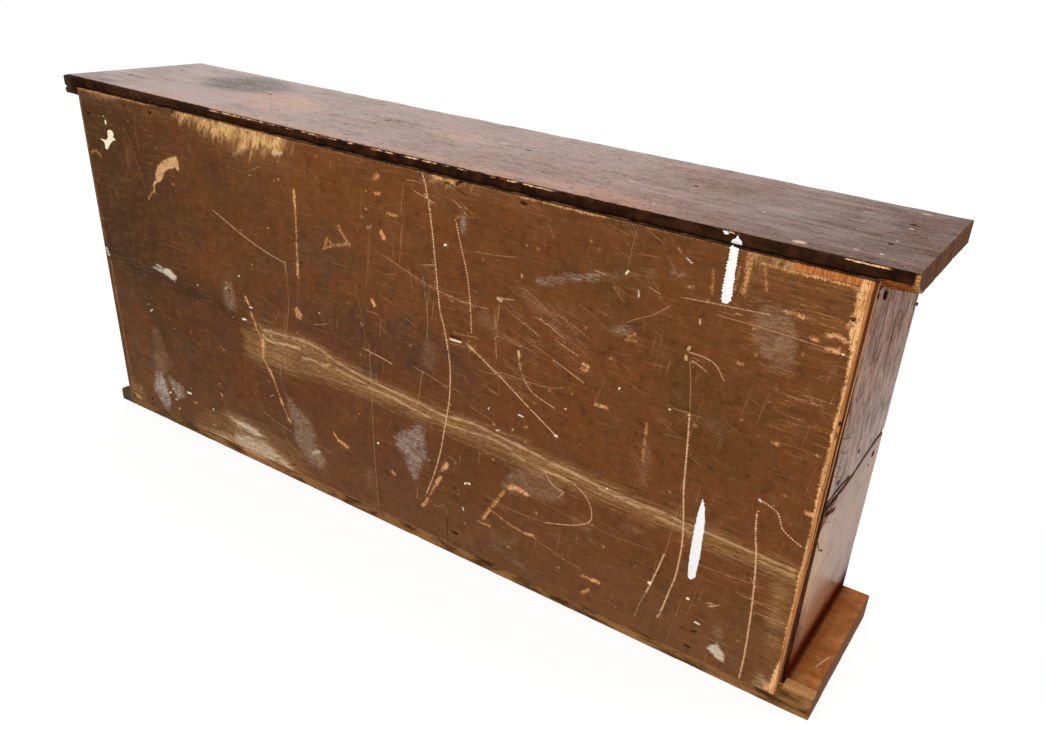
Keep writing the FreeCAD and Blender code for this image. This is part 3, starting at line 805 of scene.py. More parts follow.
def make_back_panel(material, edge_material):
    """The sheet: a divided face, finer round every mark, then given its thickness."""
    width, _, height = panel_high - panel_low
    face_y = panel_high.y - panel_recess
    bpy.ops.object.select_all(action="DESELECT")
    bpy.ops.mesh.primitive_grid_add(x_subdivisions=int(width / MM / panel_cell),
                                    y_subdivisions=int(height / MM / panel_cell), size=1.0)
    panel = bpy.context.object
    panel.name = panel.data.name = "plywood_back"
    places = vertex_places(panel)
    z = panel_low.z + (places[:, 1] + 0.5) * height
    left, right = panel_edge_x(np.min, z), panel_edge_x(np.max, z)
    # The grid's own +X becomes -X, so that its face looks towards +Y
    x = right + (left - right) * (places[:, 0] + 0.5)
    move_vertices(panel, np.column_stack([x, np.full(len(x), face_y), z]))

    def spots_of(places):
        return np.column_stack([along_back(places[:, 0]), places[:, 2] / MM])

    for outer in (4.6, 2.6):
        def by_a_mark(centres, outer=outer):
            depth = depth_in_marks(spots_of(centres), sharp_marks, 9.0)[0]
            _, half, _, _, gap = trace_strokes(spots_of(centres), fine_strokes)
            return ((depth > -outer) & (depth < outer + 1.0)) | (gap < half + outer * 0.8)
        refine(panel, by_a_mark)
    places = vertex_places(panel)
    spots = spots_of(places)
    depths = {}
    for kind, drawn in panel_marks.items():
        depths[kind], much = depth_in_marks(spots, drawn, mark_reach.get(kind, 4.0))
        keep_values(panel, **{kind: depths[kind], f"{kind}_much": much})
    side, half, run, much, gap = trace_strokes(spots, fine_strokes)
    keep_values(panel, line_side=side, line_half=half, line_run=run, line_much=much,
                line_near=gap < half + 1.8)
    # Scratches and marks are dented in by so many millimetres, and old paint stands out
    sunk = 0.25 * np.clip(1.0 - gap / np.maximum(half, 0.1), 0, 1) * much
    for kind, dented, full in (("bare", 0.3, 1.2), ("dark", 1.6, 1.0), ("strand", 0.15, 1.0),
                               ("wear", 0.2, 8.0), ("speck", -0.15, 0.8), ("smear", -0.1, 0.8)):
        sunk += dented * np.clip(depths[kind] / full + 0.5, 0, 1)
    sunk += np.where((spots > torn_corner).all(axis=1), 0.8, 0.0)
    places[:, 1] -= np.minimum(sunk, deepest_dent) * MM
    move_vertices(panel, places)
    with editing(panel, "EDGE"):
        select(panel, lambda edge: edge.is_boundary)
        bpy.ops.mesh.extrude_region_move(TRANSFORM_OT_translate={"value": (0, panel_low.y - face_y, 0)})
    with editing(panel, "EDGE"):
        bpy.ops.mesh.edge_face_add()
        bpy.ops.mesh.select_all(action="SELECT")
        bpy.ops.mesh.normals_make_consistent(inside=False)
    places = vertex_places(panel)
    places[places[:, 1] < panel_low.y + 1.2 * MM, 1] = panel_low.y
    move_vertices(panel, places)
    finish_piece(panel, [material, edge_material], "back_panel")
    for face in panel.data.polygons:
        face.material_index = 0 if face.normal.y > 0.3 else 1


def back_finish():
    """The scratched brown finish of the plywood, and what shows where it is gone."""
    finish = Finish("scratched back")
    mix, clouds, painted = finish.mix, finish.clouds, finish.painted
    x, y, up, tape = finish.x, finish.y, finish.z, finish.tape
    crumbs = clouds(1.3, 4, 0.75)
    fine = clouds(0.45, 4, 0.65)
    level = clouds((0.03, 1, 0.5), 5, 0.7, 0.3)
    upright = clouds((0.5, 1, 0.05), 4, 0.65, 0.4)
    streaks = clouds((0.12, 1, 0.9), 5, 0.7, 0.4)
    hatch = clouds(1, 5, 0.72, place=finish.vector(x * 0.2 + up * 0.25, y, up * 0.9))
    worn_thin = clouds(0.1, 6, 0.72, 0.8)

    def mask(kind, ragged, soft, chance=crumbs):
        """1 well inside a mark and 0 outside it, with a ragged rim, times the strength of the mark."""
        value = painted(kind) + (chance - 0.5) * ragged
        return value.rise(-soft, soft) * painted(f"{kind}_much")

    rub_end = finish.spot(tape, up, (266, 160), (46, 40)) * level.rise(0.38, 0.6)
    rub = mask("rub", 30, 9, level).highest(rub_end)
    scuff = mask("scuff", 18, 4, hatch) * (0.5 + worn_thin.rise(0.42, 0.58) * 0.5)
    strand = mask("strand", 7, 1.2, streaks)
    # Worn places: wisps across the foot of the sheet, and upright ones along its head
    high = up.rise(90, 140)
    wisps = clouds(1, 6, 0.72, 0.5, finish.vector(x * 0.13 + up * 0.05, y, up * 0.04))
    wisps = finish.mix_values(high, streaks, wisps)
    wear = mask("wear", 42, 7, wisps) * (0.5 + worn_thin.rise(0.36, 0.56) * 0.5)
    flecks = clouds(1, 4, 0.7, place=finish.vector(x * 0.9 + up * 0.2, y, up * 0.22))
    flecks = finish.mix_values(high, streaks, flecks)
    flecked = flecks.rise(0.3, 0.58)
    pale = mix(high, mix(flecked, (146, 112, 78), (212, 182, 142)),
               mix(flecked * 0.6 + wisps.rise(0.4, 0.6) * 0.4, (158, 100, 50), (240, 190, 126)))
    worn = 0.1 + painted("wear").rise(-2, 12) * 0.3
    worn = worn + wisps.rise(0.36, 0.56) * 0.4 + flecks.rise(0.3, 0.52) * 0.35
    gilded = finish.spot(tape, up, (832, 262), (36, 26))
    gilded = gilded.highest(finish.spot(tape, up, (820, 345), (50, 60)))
    gilded = gilded * level.rise(0.53, 0.62) * fine.rise(0.42, 0.55)
    # Scratches: as wide as their stroke, broken by crumbs, and beaded where they are strongest
    much = painted("line_much")
    bead = (painted("line_run") * 2.6).do("SINE") * much.rise(0.9, 1)
    line = painted("line_half") * 0.78 - abs(painted("line_side")) + (crumbs - 0.5) * 1.7 + bead * 0.34
    line = line.rise(-0.22, 0.42) * painted("line_near").rise(0.2, 0.6)
    line = line * (much * (0.3 + fine.rise(0.36, 0.56) * 0.8)).lowest(1)
    # Bare wood, the core of the plywood at its torn corner, and the strip down the right edge
    torn = clouds((0.7, 1, 0.7), 5, 0.8, 0.5)
    raw = mask("bare", 9, 0.8, torn)
    wood = mix(painted("bare_much").rise(0.96, 1),
               mix(fine.rise(0.34, 0.6), (176, 106, 52), (242, 180, 122)),
               mix(streaks.rise(0.36, 0.58), (170, 122, 74), (226, 180, 124)))
    core = (tape - (torn_corner[0] - 1) + (upright - 0.5) * 6).rise(-0.5, 0.5)
    core = core * (up - (torn_corner[1] + 1.1) - (fine - 0.5) * 2).rise(-0.4, 0.4)
    strip, bare_edge = torn_edge(finish, tape, fine)
    # Painted shadow: a dark line along the head of the sheet, under the edge of the top board
    shade_under_top = (up + (fine - 0.5) * 1.6).rise(380, 380.9) * tape.rise(120, 330)
    base = finish.coats(
        back_stain(finish, tape, up, level, upright),
        (rub * (0.2 + level.rise(0.35, 0.62) * 0.7),
         mix(hatch.rise(0.42, 0.6), (140, 98, 56), (184, 142, 92))),
        (scuff * (0.25 + hatch.rise(0.36, 0.62) * 0.75),
         mix(painted("scuff_much").rise(0.5, 0.9), (160, 128, 98), (198, 184, 170))),
        (strand * (0.5 + streaks.rise(0.36, 0.56) * 0.5), (208, 166, 122)),
        (wear * worn, pale),
        (gilded * 0.65, (208, 144, 82)),
        (line, mix(much.rise(0.4, 1), (184, 136, 98), (232, 184, 138))),
        (hairlines(finish, tape, up), (184, 134, 94)),
        (raw * (0.5 + torn.rise(0.32, 0.5) * 0.5), wood),
        (core, mix(upright.rise(0.4, 0.6), (160, 88, 38), (200, 128, 68))),
        (strip, bare_edge),
        (mask("smear", 9, 1.6, streaks) * (0.4 + streaks.rise(0.34, 0.54) * 0.6), (232, 216, 190)),
        (mask("speck", 1.6, 0.4) * 0.85,
         mix(painted("speck_much").rise(0.82, 0.9), (226, 180, 130), (254, 240, 210))),
        (shade_under_top * 0.9, (30, 15, 8)),
        # Dark marks: stains and bruises, and painted shade in nail holes and gouges
        (mask("dark", 2.2, 0.6) * 0.9, (24, 14, 8)))
    roughness = 0.45 + raw.highest(strip).highest(wear) * 0.3 + (fine - 0.5) * 0.2
    return finish.surface(base, roughness, level * 0.4 + crumbs * 0.3 + upright * 0.15, 0.0004, 0.03)


def back_stain(finish, tape, up, level, upright):
    """Old brown stain: greener to the left and redder to the right, with painted shade that makes it darker
    to the left; clouded, smoky and streaked.
    """
    clouds, spot = finish.clouds, finish.spot

    def drift(scale, depth, detail, roughness, distortion):
        """Noise on the face of the sheet, its own for each depth."""
        return clouds(scale, detail, roughness, distortion, finish.vector(finish.x, depth, up))

    smoke = drift(0.022, 90, 6, 0.7, 0.5)
    grey = spot(tape, up, (400, 225), (170, 75)) * 0.9 + spot(tape, up, (70, 110), (90, 130))
    shelf_line = 1 - abs(up - 204 + tape * 0.1 + (smoke - 0.5) * 30) / 16
    cool = spot(tape, up, (410, 212), (150, 44)) * (0.5 + level.rise(0.4, 0.6) * 0.5)
    mottle = clouds(0.12, 6, 0.75)
    smudge = clouds(0.035, 6, 0.75, 0.8, finish.vector(finish.x * 0.8, 120, up))
    pits = clouds(1, 3, 0.6, place=finish.vector(finish.x * 0.5, 9, up * 0.9))
    return finish.coats(
        # Painted shade: the sheet darkens towards the left, over the stain's own shift in hue
        finish.mix(tape.rise(30, 420), (82, 49, 20), (112, 66, 32)),
        (clouds(0.009, 5, 0.65, 0.6).rise(0.4, 0.64) * 0.6, (118, 66, 30)),
        (drift(0.012, 40, 5, 0.65, 0.4).rise(0.5, 0.68) * 0.5, (86, 58, 24)),
        (smoke.rise(0.45, 0.64) * (0.3 + grey.lowest(0.6)), (82, 60, 44)),
        (tape.rise(190, 40) * up.rise(140, 220) * 0.6, (62, 38, 16)),
        (shelf_line.highest(0) * tape.rise(270, 200) * 0.55, (54, 34, 22)),
        (cool * 0.65, (60, 42, 38)),
        (spot(tape, up, (370, 350), (170, 60)) * 0.5, (116, 68, 26)),
        (up.rise(130, 10) * 0.3, (126, 92, 64)),
        (tape.rise(70, 10) * up.rise(240, 340) * 0.3, (66, 42, 16)),
        (tape.between(2, 4, 7, 9) * upright.rise(0.45, 0.65) * 0.3, (150, 116, 78)),
        (tape.rise(2.6, 1) * 0.6, (60, 40, 22)),
        (level.rise(0.52, 0.72) * 0.34, (136, 88, 50)),
        (level.rise(0.46, 0.28) * 0.34, (60, 34, 15)),
        (upright.rise(0.56, 0.75) * 0.25, (140, 98, 64)),
        (mottle.rise(0.52, 0.7) * 0.42, (138, 92, 58)),
        (mottle.rise(0.48, 0.3) * 0.5, (54, 32, 16)),
        (smudge.rise(0.54, 0.7) * 0.4, (66, 40, 18)),
        (spot(tape, up, (430, 110), (330, 150)).lowest(0.7) * 0.36, (76, 48, 40)),
        (pits.rise(0.58, 0.72) * 0.3, (150, 102, 66)),
        (pits.rise(0.42, 0.3) * 0.35, (56, 32, 16)))


def hairlines(finish, tape, up):
    """The finest scratches, in four directions, thicker towards the right and the foot."""
    total = 0
    for number, (angle, share) in enumerate(((-24, 0.7), (4, 0.55), (82, 0.6), (-52, 0.4))):
        cos, sin = math.cos(math.radians(angle)), math.sin(math.radians(angle))
        along = tape * (cos * 0.022) + up * (sin * 0.022)
        across = tape * (-sin * 0.62) + up * (cos * 0.62)
        lines = finish.clouds(1, 2, 0.5, place=finish.vector(along, across, 7.3 * number))
        cover = finish.clouds(0.014, 3, 0.6, place=finish.vector(tape, up, 90 * number))
        total = lines.rise(0.665, 0.73) * cover.rise(0.47, 0.62) * share + total
    return total.lowest(1) * (0.3 + tape.rise(200, 520) * 0.5)


def torn_edge(finish, tape, fine):
    """The bare strip down the right edge of the back: how much of it shows, and its colour."""
    up, clouds = finish.z, finish.clouds
    inward = strip_x + (up - strip_foot) * strip_lean - tape
    fringe = clouds((0.16, 1, 0.8), 5, 0.75, 0.4)
    swell = clouds(0.025, 3, 0.6, place=finish.vector(0, 0, up))
    threads = clouds((1.3, 1, 0.035), 4, 0.7)
    knots = clouds((0.5, 1, 0.3), 5, 0.75, 0.4)
    width = 3.8 + up.rise(325, 350) * 4.6 + up.rise(180, 215) * 1.4 + up.rise(60, 24) * 3
    width = width + (fringe - 0.5) * 9 + (swell - 0.5) * 7
    amount = (width - inward).rise(-0.8, 0.8) * (0.75 + fine.rise(0.35, 0.5) * 0.25)
    amount = amount * (1 - knots.rise(0.53, 0.6) * up.rise(180, 215) * inward.rise(2, 3) * 0.85)
    outer = finish.mix(threads.rise(0.4, 0.6), (146, 80, 34), (200, 122, 62))
    return amount, finish.coats(
        finish.mix(threads.rise(0.34, 0.58), (186, 112, 54), (252, 200, 138)),
        # The dark rim at the very edge: the ply's edge, and painted shadow of the gap beside the end board
        (inward.rise(3.8, 2.4) * 0.85, outer), (inward.rise(1, 0.4) * 0.9, (60, 32, 16)))


def ply_edge():
    """The plies and the plain inner face of the sheet, with a painted shadow along its top edge."""
    finish = Finish("plywood edge and inside")
    figure, fibres, _ = grain(finish, "x")
    veneer = finish.mix(figure.rise(0.3, 0.7), (120, 80, 50), (156, 110, 72))
    veneer = finish.mix(fibres.rise(0.4, 0.7) * 0.4, veneer, (176, 130, 88))
    core = abs(finish.y - (panel_low.y + panel_high.y) / 2 / MM).rise(0.9, 0.6)
    inner_face = finish.y.rise(panel_low.y / MM + 0.3, panel_low.y / MM + 0.05)
    # Painted shadow: the top edge is darkened under the top board, patchy with dirt
    upper = finish.z.rise(panel_high.z / MM - 0.6, panel_high.z / MM - 0.1)
    dirt = finish.clouds(0.05, 4, 0.7)
    colour = finish.coats(
        finish.mix(core, (204, 140, 84), (176, 108, 58)), (inner_face, veneer),
        (upper * (0.6 + dirt.rise(0.6, 0.45) * 0.4), (40, 22, 12)))
    return finish.surface(colour, 0.6 + (fibres - 0.5) * 0.3, fibres, 0.0003, 0.2)


def make_paint(outlines, name, material, surface_y, thickness, ragged):
    """Runs of dried paint: each outline is filled, raised and rounded over."""
    draw = random.Random(len(outlines))
    made = []
    rooted = 0.5 * MM
    for _, _, outline in outlines:
        rim = []
        for start, end in zip(outline, outline[1:] + outline[:1]):
            run = Vector(end) - Vector(start)
            steps = max(1, int(run.length / 1.1))
            outward = Vector((run.y, -run.x)).normalized()
            for step in range(steps):
                spike = draw.uniform(0.0, ragged) if step % 2 else -draw.uniform(0.0, ragged) * 0.3
                rim.append(Vector(start) + run * (step / steps) - outward * spike)
        mesh = bpy.data.meshes.new(name)
        piece = bpy.data.objects.new(name, mesh)
        bpy.context.scene.collection.objects.link(piece)
        build = bmesh.new()
        build.faces.new([build.verts.new((case_right_x - spot.x * MM, surface_y - rooted, spot.y * MM))
                         for spot in rim])
        build.to_mesh(mesh)
        build.free()
        with editing(piece):
            bpy.ops.mesh.select_all(action="SELECT")
            lift = (0, rooted + thickness * 0.6, 0)
            bpy.ops.mesh.extrude_region_move(TRANSFORM_OT_translate={"value": lift})
            bpy.ops.mesh.inset(thickness=0.35 * MM, depth=0)
            bpy.ops.transform.translate(value=(0, thickness * 0.4, 0))
            bpy.ops.mesh.select_all(action="SELECT")
            bpy.ops.mesh.remove_doubles(threshold=0.00001)
            bpy.ops.mesh.normals_make_consistent(inside=False)
        made.append(piece)
    paint = join(made)
    paint.name = name
    finish_piece(paint, [material], smooth=50)


def old_paint():
    finish = Finish("dried white paint")
    dirt = finish.clouds(0.25, 4, 0.6)
    white = finish.mix(finish.tape.rise(120, 60), (250, 249, 245), (253, 238, 200))
    colour = finish.mix(dirt.rise(0.55, 0.75) * 0.5, white, (216, 204, 184))
    return finish.surface(colour, 0.5, dirt, 0.0002)


make_back_panel(back_finish(), ply_edge())
paint_finish = old_paint()
back_y = panel_high.y - panel_recess
make_paint(paint_drips, "white_paint_drips", paint_finish, back_y, 0.24 * MM, 1.1)
make_paint(paint_splashes, "white_paint_splash", paint_finish, back_y, 0.2 * MM, 0.25)
make_paint(paint_on_edge, "white_paint_on_top_edge", paint_finish, case_back_y, 0.4 * MM, 0.2)


# The boards of the case


def nail_places(node):
    """The middle of each nail head in a group that was driven straight down, in metres."""
    apart = 12 * MM
    places = vertex_places(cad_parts[node])
    spots = []
    for spot in places[:, :2]:
        if all(np.hypot(*(spot - other)) > apart for other in spots):
            spots.append(spot)
    middles = []
    for spot in spots:
        near = places[np.hypot(*(places[:, :2] - spot).T) < apart]
        middles.append(Vector((near.min(0) + near.max(0)) / 2))
    return middles


def dent(board, corners_low, corners_high, depth, seed):
    """Wears the arrises of a board, and keeps how worn each vertex is."""
    places = vertex_places(board)
    low, high = np.array(corners_low), np.array(corners_high)
    gap = np.minimum(places - low, high - places)
    # The distance to the nearest arris is the larger of the two smallest gaps to a face
    from_arris = np.sort(gap, axis=1)[:, 1]
    worn_width = 6 * MM
    worn = np.zeros(len(places))
    for n in np.nonzero(from_arris <= worn_width)[0]:
        place = places[n]
        chip = max(0.0, jitter(place, 45.0, seed) + 0.5 * jitter(place, 160.0, seed + 3))
        scuffed = max(0.0, jitter(place, 14.0, seed + 9) + 0.15)
        near = 1 - from_arris[n] / worn_width
        inward = np.sign((low + high) / 2 - place) * (gap[n] < worn_width)
        reach = np.linalg.norm(inward)
        if reach > 0:
            places[n] = place + inward / reach * (depth * near * near * (1.3 * chip + 0.6 * scuffed))
        worn[n] = near * near * (chip * 1.3 + scuffed * 0.7)
    move_vertices(board, places)
    keep_values(board, worn=worn)
    return places


def round_corner(places, corner_x, corner_y, radius):
    """Rounds one upright arris of a board, at its high x and high y."""
    centre = np.array((corner_x - radius, corner_y - radius))
    offset = places[:, :2] - centre
    length = np.hypot(*offset.T)
    beyond = (offset > 0).all(axis=1) & (length > radius)
    pull = np.where(beyond, radius / np.maximum(length, 1e-9), 1.0)
    places[:, :2] = centre + offset * pull[:, None]


def cut_housings(board, low, high, above, cutters=()):
    """Cuts the grooves that the dividers stand in, a little longer than the board is deep."""
    made = []
    for name in divider_names:
        start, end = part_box(name)
        clearance = Vector((0.05 * MM, 0, 0))
        start, end = start - clearance, end + clearance
        end.y += 5 * MM
        if above:
            start.z = low.z - 5 * MM
        else:
            end.z = high.z + 5 * MM
        made.append(block(start, end))
    cut_out(board, made + [hole_cutter(*cutter) for cutter in cutters])


chips_along_back_edge = [(224, 293), (350, 357), (410, 482), (534, 585), (749, 758), (848, 861)]


def make_top_board(material):
    board = blank("worn_top", top_low, top_high, (150, 28, 4))
    back = top_high.y - 9 * MM
    refine(board, lambda centres: centres[:, 1] > back)
    refine(board, lambda centres: (centres[:, 0] < top_low.x + 32 * MM) & (centres[:, 1] > back - 3 * MM))
    refine(board, lambda centres: centres[:, 0] > top_high.x - 9 * MM, 2)
    soften(board, 1.2 * MM)
    places = dent(board, top_low, top_high, 0.8 * MM, 2.0)
    x, y, z = places.T
    keep_values(board, arris=np.clip(1 - (top_high.z - z + top_high.y - y) / (4 * MM), 0, 1))
    length, depth, height = top_high - top_low
    sag = 1.1 * MM * (1 - (2 * (x - top_low.x) / length - 1) ** 2) * np.clip((y - top_low.y) / depth, 0, 1)
    z -= sag * np.clip((z - top_low.z) / height, 0, 1)
    round_corner(places, top_high.x, top_high.y, 3 * MM)
    # The upper back arris is worn round, more so towards the right end
    near = np.clip(1 - (top_high.y - y) / (6 * MM), 0, 1) ** 2 * (z > top_high.z - 4 * MM)
    z -= near * (0.5 + 1.1 * np.clip((x - 0.2) / 0.05, 0, 1)) * MM
    # The right end is worn to two uneven lobes, one above the other
    nose = np.full(len(places), 6.0)
    for middle, half, back_by in ((385.2, 5.9, 0.0), (375.2, 3.5, 1.2)):
        share = np.clip(np.abs(z / MM - middle) / half, 0, 1)
        nose = np.minimum(nose, back_by + 6.0 * (1 - np.sqrt(1 - share ** 2)))
    x[:] = np.minimum(x, top_high.x - nose * MM)
    # The foot of the back edge is broken away past the case at the left end
    broken_length, broken_depth, broken_height, unbroken_z = 28, 17, 11.6, 383.6
    along = (x - top_low.x) / MM
    past = np.clip((broken_length - along) / 3, 0, 1) * (broken_depth + 6 * np.clip(1 - along / 10, 0, 1))
    deep = past * np.clip((unbroken_z - z / MM) / broken_height, 0, 1) ** 1.15
    deep *= np.array([1 + 0.15 * jitter(place, 260.0, 5.0) for place in places])
    at_back = y > top_high.y - 2 * MM
    bare_wood = np.where(at_back, np.clip(deep / 2.0, 0, 1), 0.0)
    bare_wood = np.maximum(bare_wood, np.where((along < 2.6) & (y > top_high.y - 2.6 * MM), 0.7, 0.0))
    y -= deep * MM * np.clip((y - top_high.y + 40 * MM) / (40 * MM), 0, 1)
    tape = along_back(x)
    for start, end in chips_along_back_edge:
        inside = (tape > start) & (tape < end) & (y > top_high.y - 2 * MM) & (z > top_high.z - 2.5 * MM)
        for n in np.nonzero(inside)[0]:
            chipped = max(0.0, jitter((x[n], 0, 0), 190.0, 8.0) - 0.05)
            z[n] -= 1.0 * MM * chipped
            bare_wood[n] = max(bare_wood[n], min(1.0, chipped * 2.2))
    move_vertices(board, places)
    keep_values(board, bare=bare_wood, broken=at_back & (deep > 0.3))
    holes = [(Vector((place.x, place.y, top_high.z)), 2.25 * MM, 2.6 * MM)
             for group in ("top_nails_left", "top_nails_right", "divider_nails_top")
             for place in nail_places(group)]
    cut_housings(board, top_low, top_high, True, holes)
    finish_piece(board, [material], "top_board")


def make_bottom_board(material):
    board = blank("worn_base", base_low, base_high, (150, 27, 5))
    refine(board, lambda centres: centres[:, 1] > base_high.y - 7 * MM)
    refine(board, lambda centres: centres[:, 0] > case_right_x - 2 * MM, 2)
    soften(board, 0.8 * MM)
    places = dent(board, base_low, base_high, 0.6 * MM, 6.0)
    # Past the case, the right end is worn low and round, most of all at its back corner
    x, y, z = places.T
    out = np.clip((x - case_right_x) / (base_high.x - case_right_x), 0, 1)
    share = np.clip((y - (base_high.y - 70 * MM)) / (45 * MM), 0, 1)
    top = base_high.z - np.clip(out * 8, 0, 1) * (2 + 7 * share) * MM
    top -= 8 * MM * (1 - np.sqrt(1 - np.clip((out - 0.62) / 0.38, 0, 1) ** 2))
    z[:] = np.where(out > 0, z * top / base_high.z, z)
    move_vertices(board, places)
    cut_housings(board, base_low, base_high, False)
    finish_piece(board, [material], "bottom_board")


# Knife marks on the outside of the end board, as distance from the back edge and height. The first is the
# scored line across it.
end_cuts = marks(
    (5.6, 1, 0, 200, 30, 198, 60, 196, 100, 198.5, 130, 200, 162, 199), (4.4, 1, 0, 205, 25, 205, 60, 201),
    (4.6, 1, 6, 194, 20, 188, 34, 184), (1.2, 1, 0, 262, 30, 250), (1, 1, 2, 251, 26, 238),
    (1.2, 1, 4, 238, 22, 226), (1, 1, 10, 260, 38, 252), (1.2, 1, 1, 230, 30, 215),
    (0.9, 1, 6, 246, 34, 258), (1, 1, 8, 224, 28, 208), (0.9, 1, 22, 246, 40, 222), (1, 1, 1, 244, 12, 226),
    (2.2, 1, 2, 170, 9, 161, 12, 156), (2.4, 1, 16, 155, 25, 149), (1.6, 1, 3, 92, 14, 62),
    (1.4, 1, 8, 86, 16, 74), (1.2, 1, 2, 74, 8, 50), (1.2, 1, 0, 190, 24, 177), (1.2, 1, 44, 322, 46, 306),
    (1.4, 1, 60, 280, 62, 262), (1.2, 1, 104, 246, 106, 232), (1.2, 1, 88, 296, 90, 280))
end_holes = marks(
    (7, 1, 27, 364, 34, 361), (5, 1, 6, 370, 10, 367), (4, 1, 72, 219, 75, 217), (4, 1, 22, 214, 25, 213),
    (3.4, 1, 98, 331, 99, 330), (6, 1, 137, 186, 142, 184), (3, 1, 130, 178, 132, 177),
    (2.4, 1, 152, 204, 158, 200))


def make_end_board(side, material):
    """An end board. The cuts and holes in the photograph are on the left one alone."""
    node = f"{side}_end_board"
    low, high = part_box(node)
    left = side == "left"
    outer = low.x if left else high.x
    cuts = end_cuts if left else end_cuts[:1]
    holes = end_holes if left else []

    def spots_of(places):
        return np.column_stack([(high.y - places[:, 1]) / MM, places[:, 2] / MM])

    def on_mark(centres):
        depth = depth_in_marks(spots_of(centres), cuts + holes, 8.0)[0]
        return (np.abs(centres[:, 0] - outer) <= MM) & (depth > -5.0)

    board = blank(f"worn_{side}_end", low, high, (3, 30, 62))
    refine(board, on_mark, 3)
    soften(board, 0.9 * MM)
    places = dent(board, low, high, 0.5 * MM, 11.0 if left else 23.0)
    outside = np.abs(places[:, 0] - outer) < MM
    cut_depth, hole_depth = (np.where(outside, depth_in_marks(spots_of(places), drawn)[0], -4.0)
                             for drawn in (cuts, holes))
    sunk = np.clip(cut_depth, 0, 1.5) * 0.7 + np.clip(hole_depth, 0, 2) * 1.4
    places[:, 0] += (1 if left else -1) * np.where(outside, sunk, 0) * MM
    move_vertices(board, places)
    keep_values(board, cut=cut_depth, hole=hole_depth)
    groove = (shelf_low.x, low.x + 30 * MM) if left else (high.x - 30 * MM, shelf_high.x)
    cut_out(board, [block(Vector((groove[0], low.y - 5 * MM, shelf_low.z)),
                          Vector((groove[1], high.y + 5 * MM, shelf_high.z + 0.1 * MM)))])
    finish_piece(board, [material], node)


